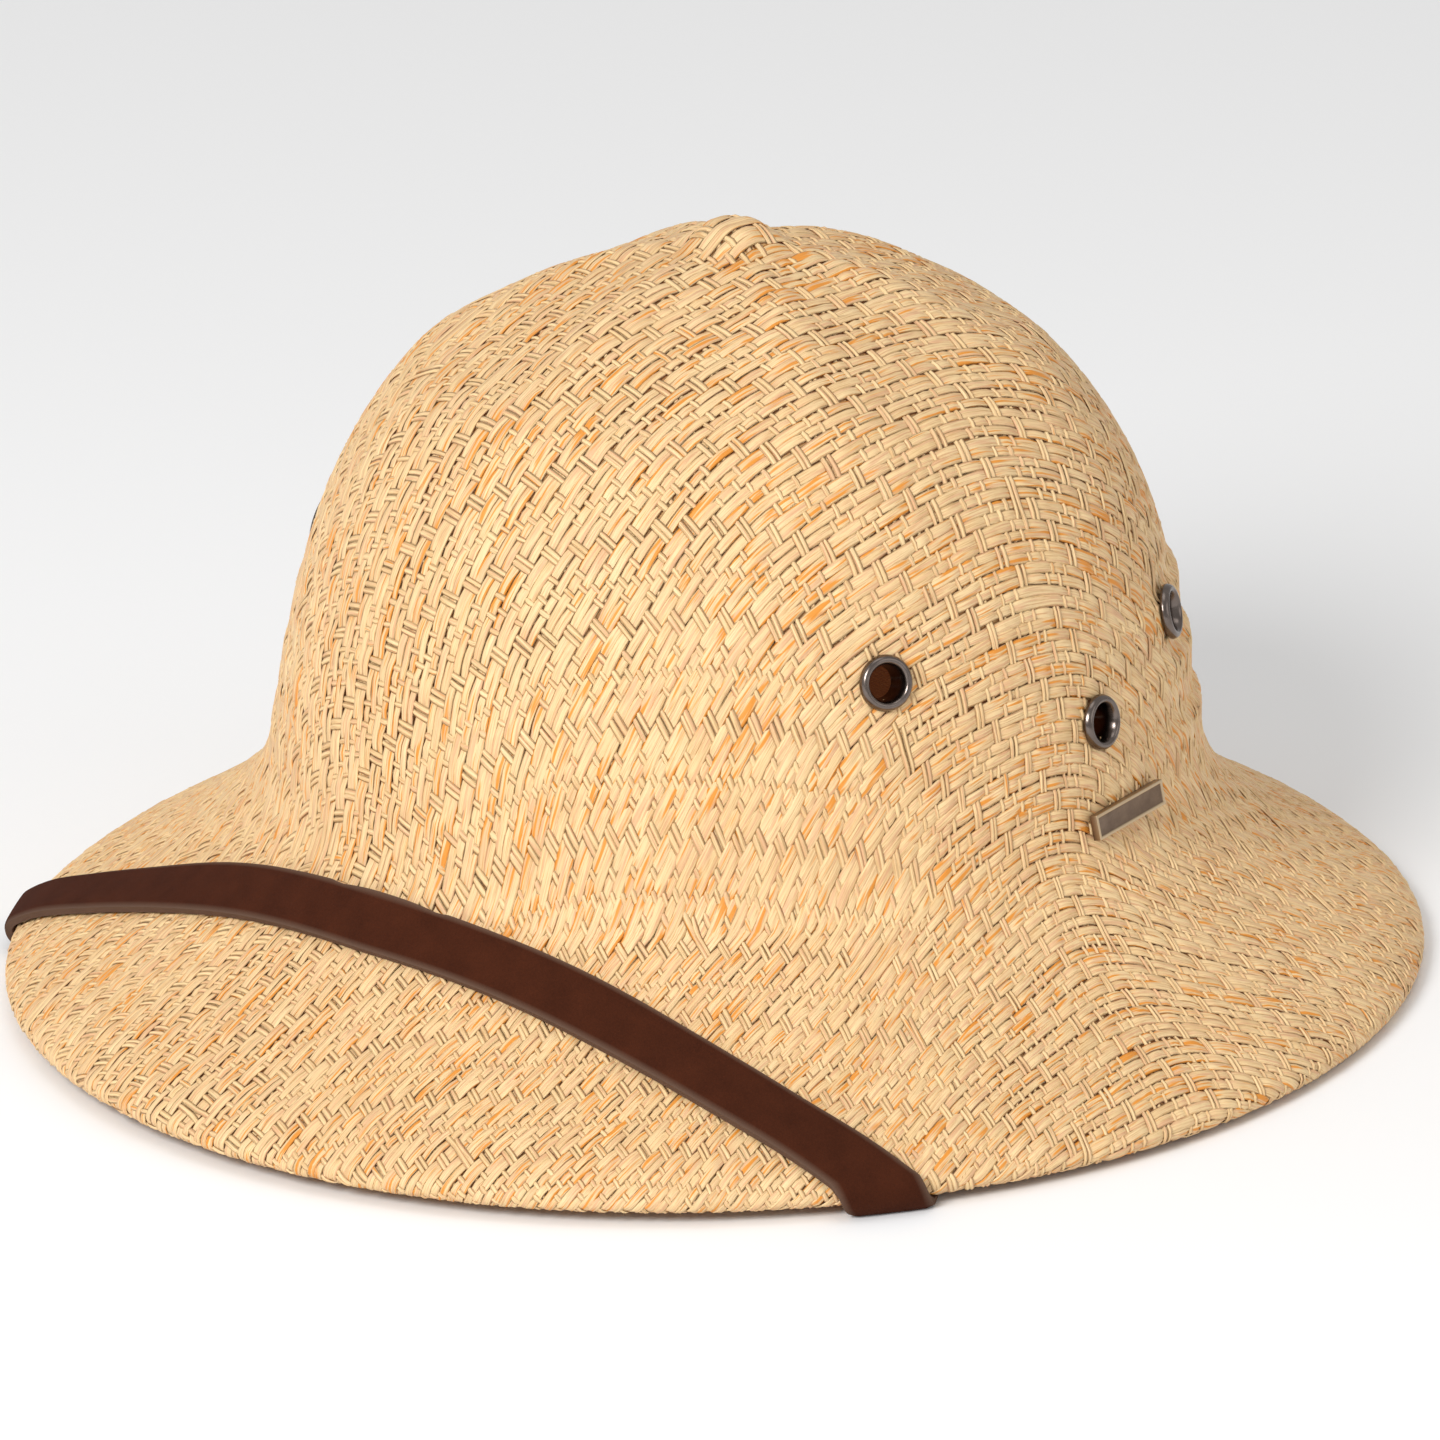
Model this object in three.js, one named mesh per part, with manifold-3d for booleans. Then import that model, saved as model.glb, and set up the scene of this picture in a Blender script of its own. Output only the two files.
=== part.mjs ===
// A pith helmet of pressed woven straw, in millimetres: +Z up, the front at -Y, the wearer's left at +X.
// It stands on the floor z = 0, on the back of its brim and on the two places where the strap wraps the edge.
import * as THREE from "three";
import { mergeVertices } from "three/addons/utils/BufferGeometryUtils.js";
import Module from "manifold-3d";

const wasm = await Module();
wasm.setup();

// Driving sizes of the straw shell
const crownHalfLength = 105.3; // to the crease between crown and brim
const crownHalfWidth = 95.8;
const crownSetBack = 6.6; // the crown sits this far behind the middle of the brim
const crownTop = 157.3; // height of the dome, without its button
const creaseFront = 42.3; // height of the crease
const creaseSide = 42.7;
const creaseBack = 34.7;
const brimHalfLength = 152.4; // to the edge
const brimHalfWidth = 141.9;
const wall = 2.6;
const hemThickness = 4.6; // the edge is turned under, so it is nearly twice as thick as the wall
const hemTurn = 11; // width of the strip that is turned under
const hemEase = 1.5; // the strip ends in a slope this wide
const floorPress = 0.35; // how much the floor flattens the straw and the leather that stand on it

// Driving sizes of the forms pressed into the crown
const buttonRadius = 13;
const buttonFlat = 3; // radius of its level top
const buttonRise = 4.3;
const ridgeCount = 6;
const ridgeRise = 1.9;
const ridgeSpan = { start: 0.03, full: 0.17, fading: 0.3, end: 0.72 }; // shares of the way down to the crease
const foldStep = 2.3; // each of the folds round the back steps out by this much
const faintFoldStep = 0.5; // what is left of them at the front
const foldFade = { faint: 98, full: 135 }; // azimuths between which they grow

// Driving sizes of the metal and leather
const eyeletFlange = 12;
const eyeletMouth = 7.8;
const eyeletBore = 6.8;
const eyeletBarrel = 8;
const eyeletRise = 1.7;
const eyeletThroat = 0.4; // the flared mouth reaches this far below the flange
const eyeletBackFlange = 10.6;
const eyeletBackThickness = 0.9;
const badgeLength = 25.5;
const badgeHeight = 6;
const badgeThickness = 1.8;
const badgeBevel = 0.6;
const badgeAzimuth = 99.6;
const badgeRise = 9; // from the crease up to the middle of the bar, along the wall
const badgePinSpacing = 17;
const badgePinDiameter = 1.6;
const badgePinEnd = 0.6; // how far a pin comes through inside
const strapWidth = 13;
const strapThickness = 2.4;
const strapCrossing = 54; // azimuth where the strap wraps the edge
const strapBow = 2.3; // over 2 makes its bow across the brim fuller than a parabola
const strapToCrease = 6; // from the crease to the middle of the strap at the front
const strapAnchor = 79; // azimuth of the rivet inside the crown
const strapAnchorRise = 17; // from the crease up to the rivet, along the wall
const strapEnd = 7; // leather beyond the rivet
const strapEdge = 0.5; // round of its cut edges
const rivetHead = 7;
const rivetHeadThickness = 1.3;
const rivetShank = 3;
const rivetDepth = 1.5; // how deep the shank sits in the wall
const strapBend = 3; // round the hem and for this far on both sides of it, the leather is bent tight
const strapSlack = 18; // the leather eases off the hem over this width
const clearance = 0.3;

// Side outline of the crown: reach is a share of the crease's reach, height of the rise from crease to top
const CROWN_OUTLINE = [
  { reach: 0.0, height: 1.0 },
  { reach: 0.114, height: 0.989 },
  { reach: 0.218, height: 0.962 },
  { reach: 0.394, height: 0.904 },
  { reach: 0.51, height: 0.852 },
  { reach: 0.639, height: 0.786 },
  { reach: 0.735, height: 0.696 },
  { reach: 0.814, height: 0.589 },
  { reach: 0.862, height: 0.492 },
  { reach: 0.897, height: 0.39 },
  { reach: 0.923, height: 0.29 },
  { reach: 0.944, height: 0.19 },
  { reach: 0.96, height: 0.105 },
  { reach: 0.976, height: 0.045 },
  { reach: 1.0, height: 0.0 },
];

// Side outline of the brim: out is a share of its width from crease to edge, drop of its fall
const BRIM_OUTLINE = [
  { out: 0.0, drop: 0.0 },
  { out: 0.055, drop: 0.1 },
  { out: 0.13, drop: 0.205 },
  { out: 0.35, drop: 0.445 },
  { out: 0.65, drop: 0.69 },
  { out: 0.86, drop: 0.85 },
  { out: 0.95, drop: 0.94 },
  { out: 1.0, drop: 1.0 },
];

// The stepped folds, as shares of the way from the top down to the crease
const FOLD_LINES = [{ place: 0.739 }, { place: 0.818 }, { place: 0.897 }];
const foldPitch = FOLD_LINES[1].place - FOLD_LINES[0].place;
const foldLip = 0.011; // share of that way in which a fold steps out

// The domed flange from its rim to its mouth: inset is a share of the flange's width, lift of its rise
const EYELET_DOME = [
  { inset: 0.0, lift: 0.0 },
  { inset: 0.07, lift: 0.45 },
  { inset: 0.36, lift: 0.88 },
  { inset: 0.62, lift: 1.0 },
  { inset: 1.0, lift: 0.7 },
];

// The vents on each side: azimuth from the front, and the way along the wall up from the crease
const VENTS = [
  { azimuth: 61.7, rise: 47.8 },
  { azimuth: 96.9, rise: 28.8 },
  { azimuth: 122.3, rise: 42.5 },
];

const SEGMENTS = 54;
const ROUND_SIDES = 16;
const BOW_STATIONS = 16; // sections of the strap, on one side
const WRAP_STATIONS = 8;
const WRAP_SHARE = 0.24; // share of its way under the brim that these take
const RUN_STATIONS = 16;
// A flat facet lies this far inside the curve
const facetDepth = crownHalfWidth * (1 - Math.cos(Math.PI / SEGMENTS));

const radians = THREE.MathUtils.degToRad;
const smooth = THREE.MathUtils.smoothstep;

// A point on an oval round the Z axis
function oval(azimuth, halfLength, halfWidth, height) {
  const reach = 1 / Math.hypot(Math.cos(azimuth) / halfLength, Math.sin(azimuth) / halfWidth);
  return new THREE.Vector3(reach * Math.sin(azimuth), -reach * Math.cos(azimuth), height);
}

// The crease is highest at the sides and lowest at the back
function creaseHeight(azimuth) {
  const forward = Math.cos(azimuth);
  const lean = (creaseFront - creaseBack) / 2;
  const bow = (creaseFront + creaseBack) / 2 - creaseSide;
  return creaseSide + lean * forward + bow * forward ** 2;
}

// The brim's edge rises a little from the back to the front, because the strap lies under it there
function edgePoint(azimuth) {
  const wrapForward = -oval(radians(strapCrossing), brimHalfLength, brimHalfWidth, 0).y;
  const slope = (strapThickness + clearance) / (wrapForward + brimHalfLength);
  const point = oval(azimuth, brimHalfLength, brimHalfWidth, 0);
  return point.setZ(hemThickness + (brimHalfLength - point.y) * slope);
}

// The smooth outline at an azimuth, as a curve down the crown and a curve down the brim
const outlines = new Map();
function outlineAt(azimuth) {
  const key = azimuth.toFixed(5);
  if (!outlines.has(key)) {
    const level = creaseHeight(azimuth);
    const top = new THREE.Vector3(0, crownSetBack, crownTop);
    const crease = oval(azimuth, crownHalfLength, crownHalfWidth, level);
    crease.y += crownSetBack;
    const edge = edgePoint(azimuth);
    const crown = CROWN_OUTLINE.map(({ reach, height }) =>
      top.clone().lerp(crease, reach).setZ(level + height * (crownTop - level)),
    );
    const brim = BRIM_OUTLINE.map(({ out, drop }) =>
      crease.clone().lerp(edge, out).setZ(level + drop * (edge.z - level)),
    );
    outlines.set(key, {
      crown: new THREE.CatmullRomCurve3(crown, false, "centripetal"),
      brim: new THREE.CatmullRomCurve3(brim, false, "centripetal"),
    });
  }
  return outlines.get(key);
}

// A place runs along the outline: 0 at the top, 1 at the crease, 2 at the edge of the brim
function smoothPoint(azimuth, place) {
  const { crown, brim } = outlineAt(azimuth);
  return place <= 1 ? crown.getPointAt(Math.max(place, 0)) : brim.getPointAt(Math.min(place - 1, 1));
}

// How far a point is from the crown's own middle line
function reachOf(point) {
  return Math.hypot(point.x, point.y - crownSetBack);
}

function crownLength(azimuth) {
  return outlineAt(azimuth).crown.getLength();
}

function brimLength(azimuth) {
  return outlineAt(azimuth).brim.getLength();
}

// Directions on the smooth surface: down the outline, round the head, and outwards
function directionsAt(azimuth, place) {
  const step = 0.004;
  const low = Math.max(place - step, 0);
  const high = Math.min(place + step, 2);
  const down = smoothPoint(azimuth, high).sub(smoothPoint(azimuth, low)).normalize();
  const near = Math.max(place, step); // the directions round the head are lost at the very top
  const round = smoothPoint(azimuth + step, near).sub(smoothPoint(azimuth - step, near)).normalize();
  const normal = new THREE.Vector3().crossVectors(down, round).normalize();
  return { down, normal };
}

// How far the pressed forms stand out of the smooth surface
function button(way) {
  return buttonRise * (1 - smooth(way, buttonFlat, buttonRadius));
}

function ridges(azimuth, place) {
  const crest = (0.5 + 0.5 * Math.cos(ridgeCount * azimuth)) ** 2;
  const { start, full, fading, end } = ridgeSpan;
  return ridgeRise * crest * smooth(place, start, full) * (1 - smooth(place, fading, end));
}

function folds(azimuth, place) {
  const first = FOLD_LINES[0].place;
  const last = FOLD_LINES[FOLD_LINES.length - 1].place;
  const fade = smooth(place, first - foldPitch, first - foldLip) * (1 - smooth(place, last + foldLip, 1));
  const stepped = FOLD_LINES.reduce((sum, { place: line }) => sum + smooth(place, line - foldLip, line), 0);
  const steady = THREE.MathUtils.clamp((place - first) / foldPitch + 0.5, 0, FOLD_LINES.length);
  const around = Math.abs(THREE.MathUtils.euclideanModulo(azimuth + Math.PI, 2 * Math.PI) - Math.PI);
  const share = smooth(around, radians(foldFade.faint), radians(foldFade.full));
  return (faintFoldStep + (foldStep - faintFoldStep) * share) * (stepped - steady) * fade;
}

function relief(azimuth, place) {
  if (place > 1) return 0;
  return button(place * crownLength(azimuth)) + ridges(azimuth, place) + folds(azimuth, place);
}

function thickness(azimuth, place) {
  if (place <= 1) return wall;
  const fromEdge = (2 - place) * brimLength(azimuth);
  return wall + (hemThickness - wall) * (1 - smooth(fromEdge, hemTurn, hemTurn + hemEase));
}

// A point at a height above the outer skin
function outer(azimuth, place, height = 0) {
  const { normal } = directionsAt(azimuth, place);
  return smoothPoint(azimuth, place).addScaledVector(normal, relief(azimuth, place) + height);
}

// A point at a depth beyond the inner skin
function inner(azimuth, place, depth = 0) {
  return outer(azimuth, place, -thickness(azimuth, place) - depth);
}

// A point round the hem: turn runs from 0 on top of the brim to 1 under it
function hem(azimuth, turn, height = 0) {
  const { down, normal } = directionsAt(azimuth, 2);
  const radius = hemThickness / 2;
  return smoothPoint(azimuth, 2)
    .addScaledVector(normal, -radius + (radius + height) * Math.cos(turn * Math.PI))
    .addScaledVector(down, (radius + height) * Math.sin(turn * Math.PI));
}

// A closed body from rings of points, each ring with as many points, and a first and a last end
function loft(rings, { firstPole, lastPole } = {}) {
  const count = rings[0].length;
  const points = rings.flat();
  const faces = [];
  for (let i = 0; i + 1 < rings.length; i++) {
    for (let j = 0; j < count; j++) {
      const a = i * count + j;
      const b = i * count + ((j + 1) % count);
      faces.push(a, a + count, b, b, a + count, b + count);
    }
  }
  const last = (rings.length - 1) * count;
  if (firstPole) points.push(firstPole);
  for (let j = 1; j <= count; j++) {
    const next = (j + 1) % count;
    if (firstPole) faces.push(points.length - 1, j % count, next);
    else if (j < count - 1) faces.push(0, j, next);
  }
  if (lastPole) points.push(lastPole);
  for (let j = 1; j <= count; j++) {
    const next = (j + 1) % count;
    if (lastPole) faces.push(points.length - 1, last + next, last + (j % count));
    else if (j < count - 1) faces.push(last, last + next, last + j);
  }
  const geometry = new THREE.BufferGeometry().setFromPoints(points);
  geometry.setIndex(faces);
  return geometry;
}

// A three.js geometry as a solid, and back
function solid(geometry) {
  const bare = geometry.clone();
  bare.deleteAttribute("normal");
  bare.deleteAttribute("uv");
  const merged = mergeVertices(bare, 1e-4);
  const vertProperties = new Float32Array(merged.attributes.position.array);
  const triVerts = new Uint32Array(merged.index.array);
  return new wasm.Manifold(new wasm.Mesh({ numProp: 3, vertProperties, triVerts }));
}

function geometryOf(body) {
  const mesh = body.getMesh();
  const geometry = new THREE.BufferGeometry();
  geometry.setAttribute("position", new THREE.BufferAttribute(new Float32Array(mesh.vertProperties), 3));
  geometry.setIndex(new THREE.BufferAttribute(new Uint32Array(mesh.triVerts), 1));
  const flat = geometry.toNonIndexed();
  flat.computeVertexNormals();
  return flat;
}

// A frame on the crown: z outwards, y up the wall, x round the head
function seat(azimuth, place) {
  const { down, normal } = directionsAt(azimuth, place);
  const up = down.clone().negate();
  const across = new THREE.Vector3().crossVectors(up, normal);
  return new THREE.Matrix4().makeBasis(across, up, normal).setPosition(outer(azimuth, place));
}

// A cylinder along z of a seat, from one height to another
function pin(diameter, from, to, at) {
  const geometry = new THREE.CylinderGeometry(diameter / 2, diameter / 2, to - from, ROUND_SIDES);
  geometry.rotateX(Math.PI / 2).translate(0, 0, (from + to) / 2);
  return geometry.applyMatrix4(at);
}

function placeAbove(azimuth, rise) {
  return 1 - rise / crownLength(azimuth);
}

// How far the skin stands above, or below, a flat disc laid on a seat
function skinUnder(azimuth, place, radius, at, skin) {
  const back = at.clone().invert();
  const heights = [];
  for (let k = 0; k < ROUND_SIDES; k++) {
    const turn = (2 * Math.PI * k) / ROUND_SIDES;
    const away = (radius * Math.sin(turn)) / reachOf(smoothPoint(azimuth, place));
    const along = (radius * Math.cos(turn)) / crownLength(azimuth);
    heights.push(skin(azimuth + away, place + along).applyMatrix4(back).z);
  }
  heights.push(skin(azimuth, place).applyMatrix4(back).z);
  return heights;
}

const straw = new THREE.MeshStandardMaterial({ color: 0xe0c08a, roughness: 0.75, metalness: 0 });
const gunmetal = new THREE.MeshStandardMaterial({ color: 0x4a4a4c, roughness: 0.3, metalness: 1 });
const antiqueBrass = new THREE.MeshStandardMaterial({ color: 0x7d6743, roughness: 0.45, metalness: 1 });
const suede = new THREE.MeshStandardMaterial({ color: 0x3e1e14, roughness: 0.95, metalness: 0 });

function named(name, geometry, material) {
  const mesh = new THREE.Mesh(geometry, material);
  mesh.name = name;
  return mesh;
}

// The rings of the shell, as places down the outside and back up the inside
const CROWN_PLACES = [
  0.012, 0.03, 0.048, 0.068, 0.1, 0.14, 0.19, 0.25, 0.32, 0.4, 0.48, 0.56, 0.64, 0.965, 1,
];
const BRIM_PLACES = [1.07, 1.22, 1.42, 1.64, 1.84, 2];
const INNER_PLACES = [
  0.03, 0.068, 0.13, 0.2, 0.28, 0.36, 0.44, 0.52, 0.6, 0.67, 0.965, 1.04, 1.25, 1.55,
];

function foldPlaces() {
  return FOLD_LINES.flatMap(({ place }) => [place - foldPitch / 2, place - foldLip, place]);
}

function shellBody() {
  const azimuths = Array.from({ length: SEGMENTS }, (_, j) => (2 * Math.PI * j) / SEGMENTS);
  const ring = (at) => azimuths.map(at);
  const outside = [...CROWN_PLACES, ...foldPlaces(), ...BRIM_PLACES].sort((a, b) => a - b);
  const folded = FOLD_LINES.flatMap(({ place }) => [place - foldLip, place]);
  const inside = [...INNER_PLACES, ...folded].sort((a, b) => b - a);
  const stripEdge = (azimuth, gap) => 2 - (hemTurn + gap) / brimLength(azimuth);
  const rings = [
    ...outside.map((place) => ring((azimuth) => outer(azimuth, place))),
    ...[0.25, 0.5, 0.75, 1].map((turn) => ring((azimuth) => hem(azimuth, turn))),
    ring((azimuth) => inner(azimuth, stripEdge(azimuth, 0))),
    ring((azimuth) => inner(azimuth, stripEdge(azimuth, hemEase))),
    ...inside.map((place) => ring((azimuth) => inner(azimuth, place))),
  ];
  const top = outer(0, 0);
  return solid(loft(rings, { firstPole: top, lastPole: top.clone().setZ(top.z - wall) }));
}

// One vent on one side: its seat, its hole and its eyelet
function ventAt({ azimuth, rise }, side) {
  const turned = side * radians(azimuth);
  const place = placeAbove(turned, rise);
  const at = seat(turned, place);
  const top = Math.max(...skinUnder(turned, place, eyeletFlange / 2, at, outer)) + clearance;
  const deepest = Math.min(...skinUnder(turned, place, eyeletBackFlange / 2, at, inner));
  const under = deepest - clearance - 2 * facetDepth;
  return { at, top, under };
}

// Outline of an eyelet from its axis outwards: a domed flange, a flared mouth, a barrel and a back flange
function eyeletGeometry({ at, top, under }) {
  const flangeWidth = (eyeletFlange - eyeletMouth) / 2;
  const dome = EYELET_DOME.map(({ inset, lift }) => [
    eyeletFlange / 2 - inset * flangeWidth,
    top + lift * eyeletRise,
  ]);
  const rows = [
    [eyeletBore / 2, under - eyeletBackThickness],
    [eyeletBackFlange / 2, under - eyeletBackThickness],
    [eyeletBackFlange / 2, under],
    [eyeletBarrel / 2, under],
    [eyeletBarrel / 2, top],
    ...dome,
    [eyeletBore / 2, top - eyeletThroat],
    [eyeletBore / 2, under - eyeletBackThickness],
  ];
  const outline = rows.map(([radius, height]) => new THREE.Vector2(radius, height));
  return new THREE.LatheGeometry(outline, ROUND_SIDES).rotateX(Math.PI / 2).applyMatrix4(at);
}

function ventHole({ at, top, under }) {
  return solid(pin(eyeletBarrel + 2 * clearance, under - wall, top + wall, at));
}

// The bare bar with bevelled edges, and its two pins through the wall
function badgeParts() {
  const azimuth = radians(badgeAzimuth);
  const place = placeAbove(azimuth, badgeRise);
  const at = seat(azimuth, place);
  const reach = reachOf(smoothPoint(azimuth, place));
  const away = badgeLength / 2 / reach;
  const along = badgeHeight / 2 / crownLength(azimuth);
  const corners = [-1, 0, 1].flatMap((end) =>
    [-1, 1].map((side) => outer(azimuth + end * away, place + side * along)),
  );
  const back = at.clone().invert();
  const seatHeight = Math.max(...corners.map((corner) => corner.applyMatrix4(back).z)) + clearance;
  const face = new THREE.Shape();
  face.moveTo(badgeBevel - badgeLength / 2, badgeBevel - badgeHeight / 2);
  face.lineTo(badgeLength / 2 - badgeBevel, badgeBevel - badgeHeight / 2);
  face.lineTo(badgeLength / 2 - badgeBevel, badgeHeight / 2 - badgeBevel);
  face.lineTo(badgeBevel - badgeLength / 2, badgeHeight / 2 - badgeBevel);
  const bar = new THREE.ExtrudeGeometry(face, {
    depth: badgeThickness - 2 * badgeBevel,
    bevelSize: badgeBevel,
    bevelThickness: badgeBevel,
    bevelSegments: 1,
  });
  bar.translate(0, 0, seatHeight + badgeBevel).applyMatrix4(at);
  let body = solid(bar);
  const holes = [];
  for (const end of [-1, 1]) {
    const pinX = (end * badgePinSpacing) / 2;
    const pinAt = at.clone().multiply(new THREE.Matrix4().makeTranslation(pinX, 0, 0));
    const inside = inner(azimuth + pinX / reach, place).applyMatrix4(back).z;
    body = body.add(solid(pin(badgePinDiameter, inside - badgePinEnd, seatHeight + badgeBevel, pinAt)));
    holes.push(solid(pin(badgePinDiameter + 2 * clearance, inside - wall, seatHeight + wall, pinAt)));
  }
  return { body, holes };
}

// The strap's way: its azimuth, and how far it has come across the brim, counted in millimetres from the
// start of the hem, less than 0 on top of the brim and more than 0 round the hem and under it
const hemArc = (Math.PI * hemThickness) / 2;

function skinAt(azimuth, across, height) {
  const length = brimLength(azimuth);
  if (across <= 0) return outer(azimuth, 2 + across / length, height);
  if (across < hemArc) return hem(azimuth, across / hemArc, height);
  const inward = across - hemArc;
  const depth = height + 2 * facetDepth * smooth(inward, 0, hemTurn);
  if (inward < length) return underBrim(azimuth, 2 - inward / length, depth);
  return inner(azimuth, 1 - (inward - length) / crownLength(azimuth), depth);
}

// Under the brim the strap leaves the turned strip gently, and doesn't follow its step
function underBrim(azimuth, place, height) {
  const fromEdge = (2 - place) * brimLength(azimuth);
  const depth = wall + (hemThickness - wall) * (1 - smooth(fromEdge, hemTurn + 2, hemTurn + strapSlack));
  return outer(azimuth, place, -depth - height);
}

// Its stations on one side: a bow over the brim, then steadily on round the hem to the rivet and its end
function strapHalf() {
  const crossing = radians(strapCrossing);
  const turn = radians(strapAnchor) - crossing;
  const bowDepth = brimLength(0) - strapToCrease;
  const steepness = (strapBow * bowDepth) / crossing;
  const total = hemArc + brimLength(crossing + turn) + strapAnchorRise;
  const bend = (total - steepness * turn) / turn ** 2;
  const bow = Array.from({ length: BOW_STATIONS + 1 }, (_, k) => {
    const share = k / BOW_STATIONS;
    return { azimuth: crossing * share, across: -bowDepth * (1 - share ** strapBow) };
  });
  const wrap = Array.from({ length: WRAP_STATIONS }, (_, k) => (WRAP_SHARE * (k + 1)) / WRAP_STATIONS);
  const runShare = (1 - WRAP_SHARE) / RUN_STATIONS;
  const run = Array.from({ length: RUN_STATIONS }, (_, k) => WRAP_SHARE + runShare * (k + 1));
  const under = [...wrap, ...run].map((share) => {
    const past = turn * share;
    return { azimuth: crossing + past, across: steepness * past + bend * past ** 2 };
  });
  const end = { azimuth: crossing + turn, across: total + strapEnd };
  return [...bow, ...under, end];
}

function strapStations() {
  const half = strapHalf();
  const mirrored = half.slice(1).map(({ azimuth, across }) => ({ azimuth: -azimuth, across }));
  return [...mirrored.reverse(), ...half];
}

// One section of the strap, measured on the unrolled skin: its corners stand square to its way, but where the
// strap bends round the hem they line up with the hem, as the bend of a real strap does
function strapSection(stations, k) {
  const { azimuth, across } = stations[k];
  const before = stations[Math.max(k - 1, 0)];
  const after = stations[Math.min(k + 1, stations.length - 1)];
  const reach = reachOf(skinAt(azimuth, across, 0));
  const way = new THREE.Vector2((after.azimuth - before.azimuth) * reach, after.across - before.across);
  way.normalize();
  const fromHem = Math.abs(across - hemArc / 2) - hemArc / 2;
  const bent = 1 - smooth(fromHem, strapBend, strapSlack);
  const lean = bent > 0 ? (-bent * way.x) / way.y : 0;
  const corner = (sideways, height) => {
    const round = (sideways * (lean * way.x - way.y)) / reach;
    return skinAt(azimuth + round, across + sideways * (lean * way.y + way.x), clearance + height);
  };
  const half = strapWidth / 2;
  return [
    corner(half, strapEdge),
    corner(half, strapThickness - strapEdge),
    corner(half - strapEdge, strapThickness),
    corner(0, strapThickness),
    corner(strapEdge - half, strapThickness),
    corner(-half, strapThickness - strapEdge),
    corner(-half, strapEdge),
    corner(strapEdge - half, 0),
    corner(0, 0),
    corner(half - strapEdge, 0),
  ];
}

function strapBody() {
  const stations = strapStations();
  const rings = stations.map((_, k) => strapSection(stations, k));
  return solid(loft(rings));
}

// A rivet from inside the crown through the strap's end into the wall
function rivetParts(side) {
  const azimuth = side * radians(strapAnchor);
  const place = placeAbove(azimuth, strapAnchorRise);
  const { down, normal } = directionsAt(azimuth, place);
  const inwards = normal.clone().negate();
  const across = new THREE.Vector3().crossVectors(down, inwards);
  const at = new THREE.Matrix4().makeBasis(across, down, inwards).setPosition(inner(azimuth, place));
  const leather = 2 * clearance + 2 * facetDepth + strapThickness;
  const head = pin(rivetHead, leather, leather + rivetHeadThickness, at);
  const shank = pin(rivetShank, -rivetDepth, leather + rivetHeadThickness / 2, at);
  return {
    body: solid(head).add(solid(shank)),
    hole: solid(pin(rivetShank + 2 * clearance, -rivetDepth - clearance, leather + clearance, at)),
  };
}

let shell = shellBody();
let strap = strapBody();

// The floor presses the straw and the leather that stand on it flat
const floorHeight = shell.boundingBox().min[2] + floorPress;
const floorSize = 3 * brimHalfLength;
const floorBlock = new THREE.BoxGeometry(floorSize, floorSize, floorSize);
const belowFloor = solid(floorBlock.translate(0, 0, floorHeight - floorSize / 2));
shell = shell.subtract(belowFloor);
strap = strap.subtract(belowFloor);

// The group's origin is the middle of the hat's footprint, on the floor
const helmet = new THREE.Group();
helmet.position.setZ(-floorHeight);

for (const [sideName, side] of [["left", 1], ["right", -1]]) {
  VENTS.forEach((vent, k) => {
    const place = ventAt(vent, side);
    shell = shell.subtract(ventHole(place));
    helmet.add(named(`vent_eyelet_${sideName}_${k + 1}`, eyeletGeometry(place), gunmetal));
  });
  const rivet = rivetParts(side);
  shell = shell.subtract(rivet.hole);
  strap = strap.subtract(rivet.hole);
  helmet.add(named(`strap_rivet_${sideName}`, geometryOf(rivet.body), gunmetal));
}

const badge = badgeParts();
for (const hole of badge.holes) shell = shell.subtract(hole);

helmet.add(named("helmet_shell", geometryOf(shell), straw));
helmet.add(named("chin_strap", geometryOf(strap), suede));
helmet.add(named("badge_bar", geometryOf(badge.body), antiqueBrass));

export default helmet;
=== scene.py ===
# %% [markdown]
# # A woven straw pith helmet The CAD model gives the helmet's true shape and size. This lesson dresses it:
# the plain straw shell becomes real woven strands over a pressed form, the strap becomes suede, and the
# small metal parts get their finish. Lengths are written in millimetres, as a hat maker would, and turned
# into Blender's metres in one place.

import math

import bpy
import numpy as np
from mathutils import Matrix, Vector


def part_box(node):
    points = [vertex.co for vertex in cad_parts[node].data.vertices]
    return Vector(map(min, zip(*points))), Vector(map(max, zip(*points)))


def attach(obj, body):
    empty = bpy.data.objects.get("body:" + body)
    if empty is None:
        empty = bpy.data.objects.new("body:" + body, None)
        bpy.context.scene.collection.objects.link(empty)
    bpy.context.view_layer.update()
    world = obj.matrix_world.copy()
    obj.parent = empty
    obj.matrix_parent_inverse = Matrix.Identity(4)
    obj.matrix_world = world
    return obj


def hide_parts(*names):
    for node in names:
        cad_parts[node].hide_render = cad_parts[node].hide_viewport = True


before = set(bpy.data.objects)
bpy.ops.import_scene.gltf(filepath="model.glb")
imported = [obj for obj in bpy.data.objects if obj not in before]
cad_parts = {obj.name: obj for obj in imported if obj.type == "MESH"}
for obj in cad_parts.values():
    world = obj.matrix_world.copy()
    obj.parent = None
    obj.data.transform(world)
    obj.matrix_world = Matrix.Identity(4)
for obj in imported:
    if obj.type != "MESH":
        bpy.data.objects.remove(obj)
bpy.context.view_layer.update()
MM = 0.001

# %% [markdown]
# ## The camera
# The photograph was taken with a long lens, from the front left and a little above the brim. Its angles, its
# distance and its scale were worked out from the outline of the hat. The scale says how many of the
# photograph's 1440 pixels one millimetre takes at the middle of the hat.

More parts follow.
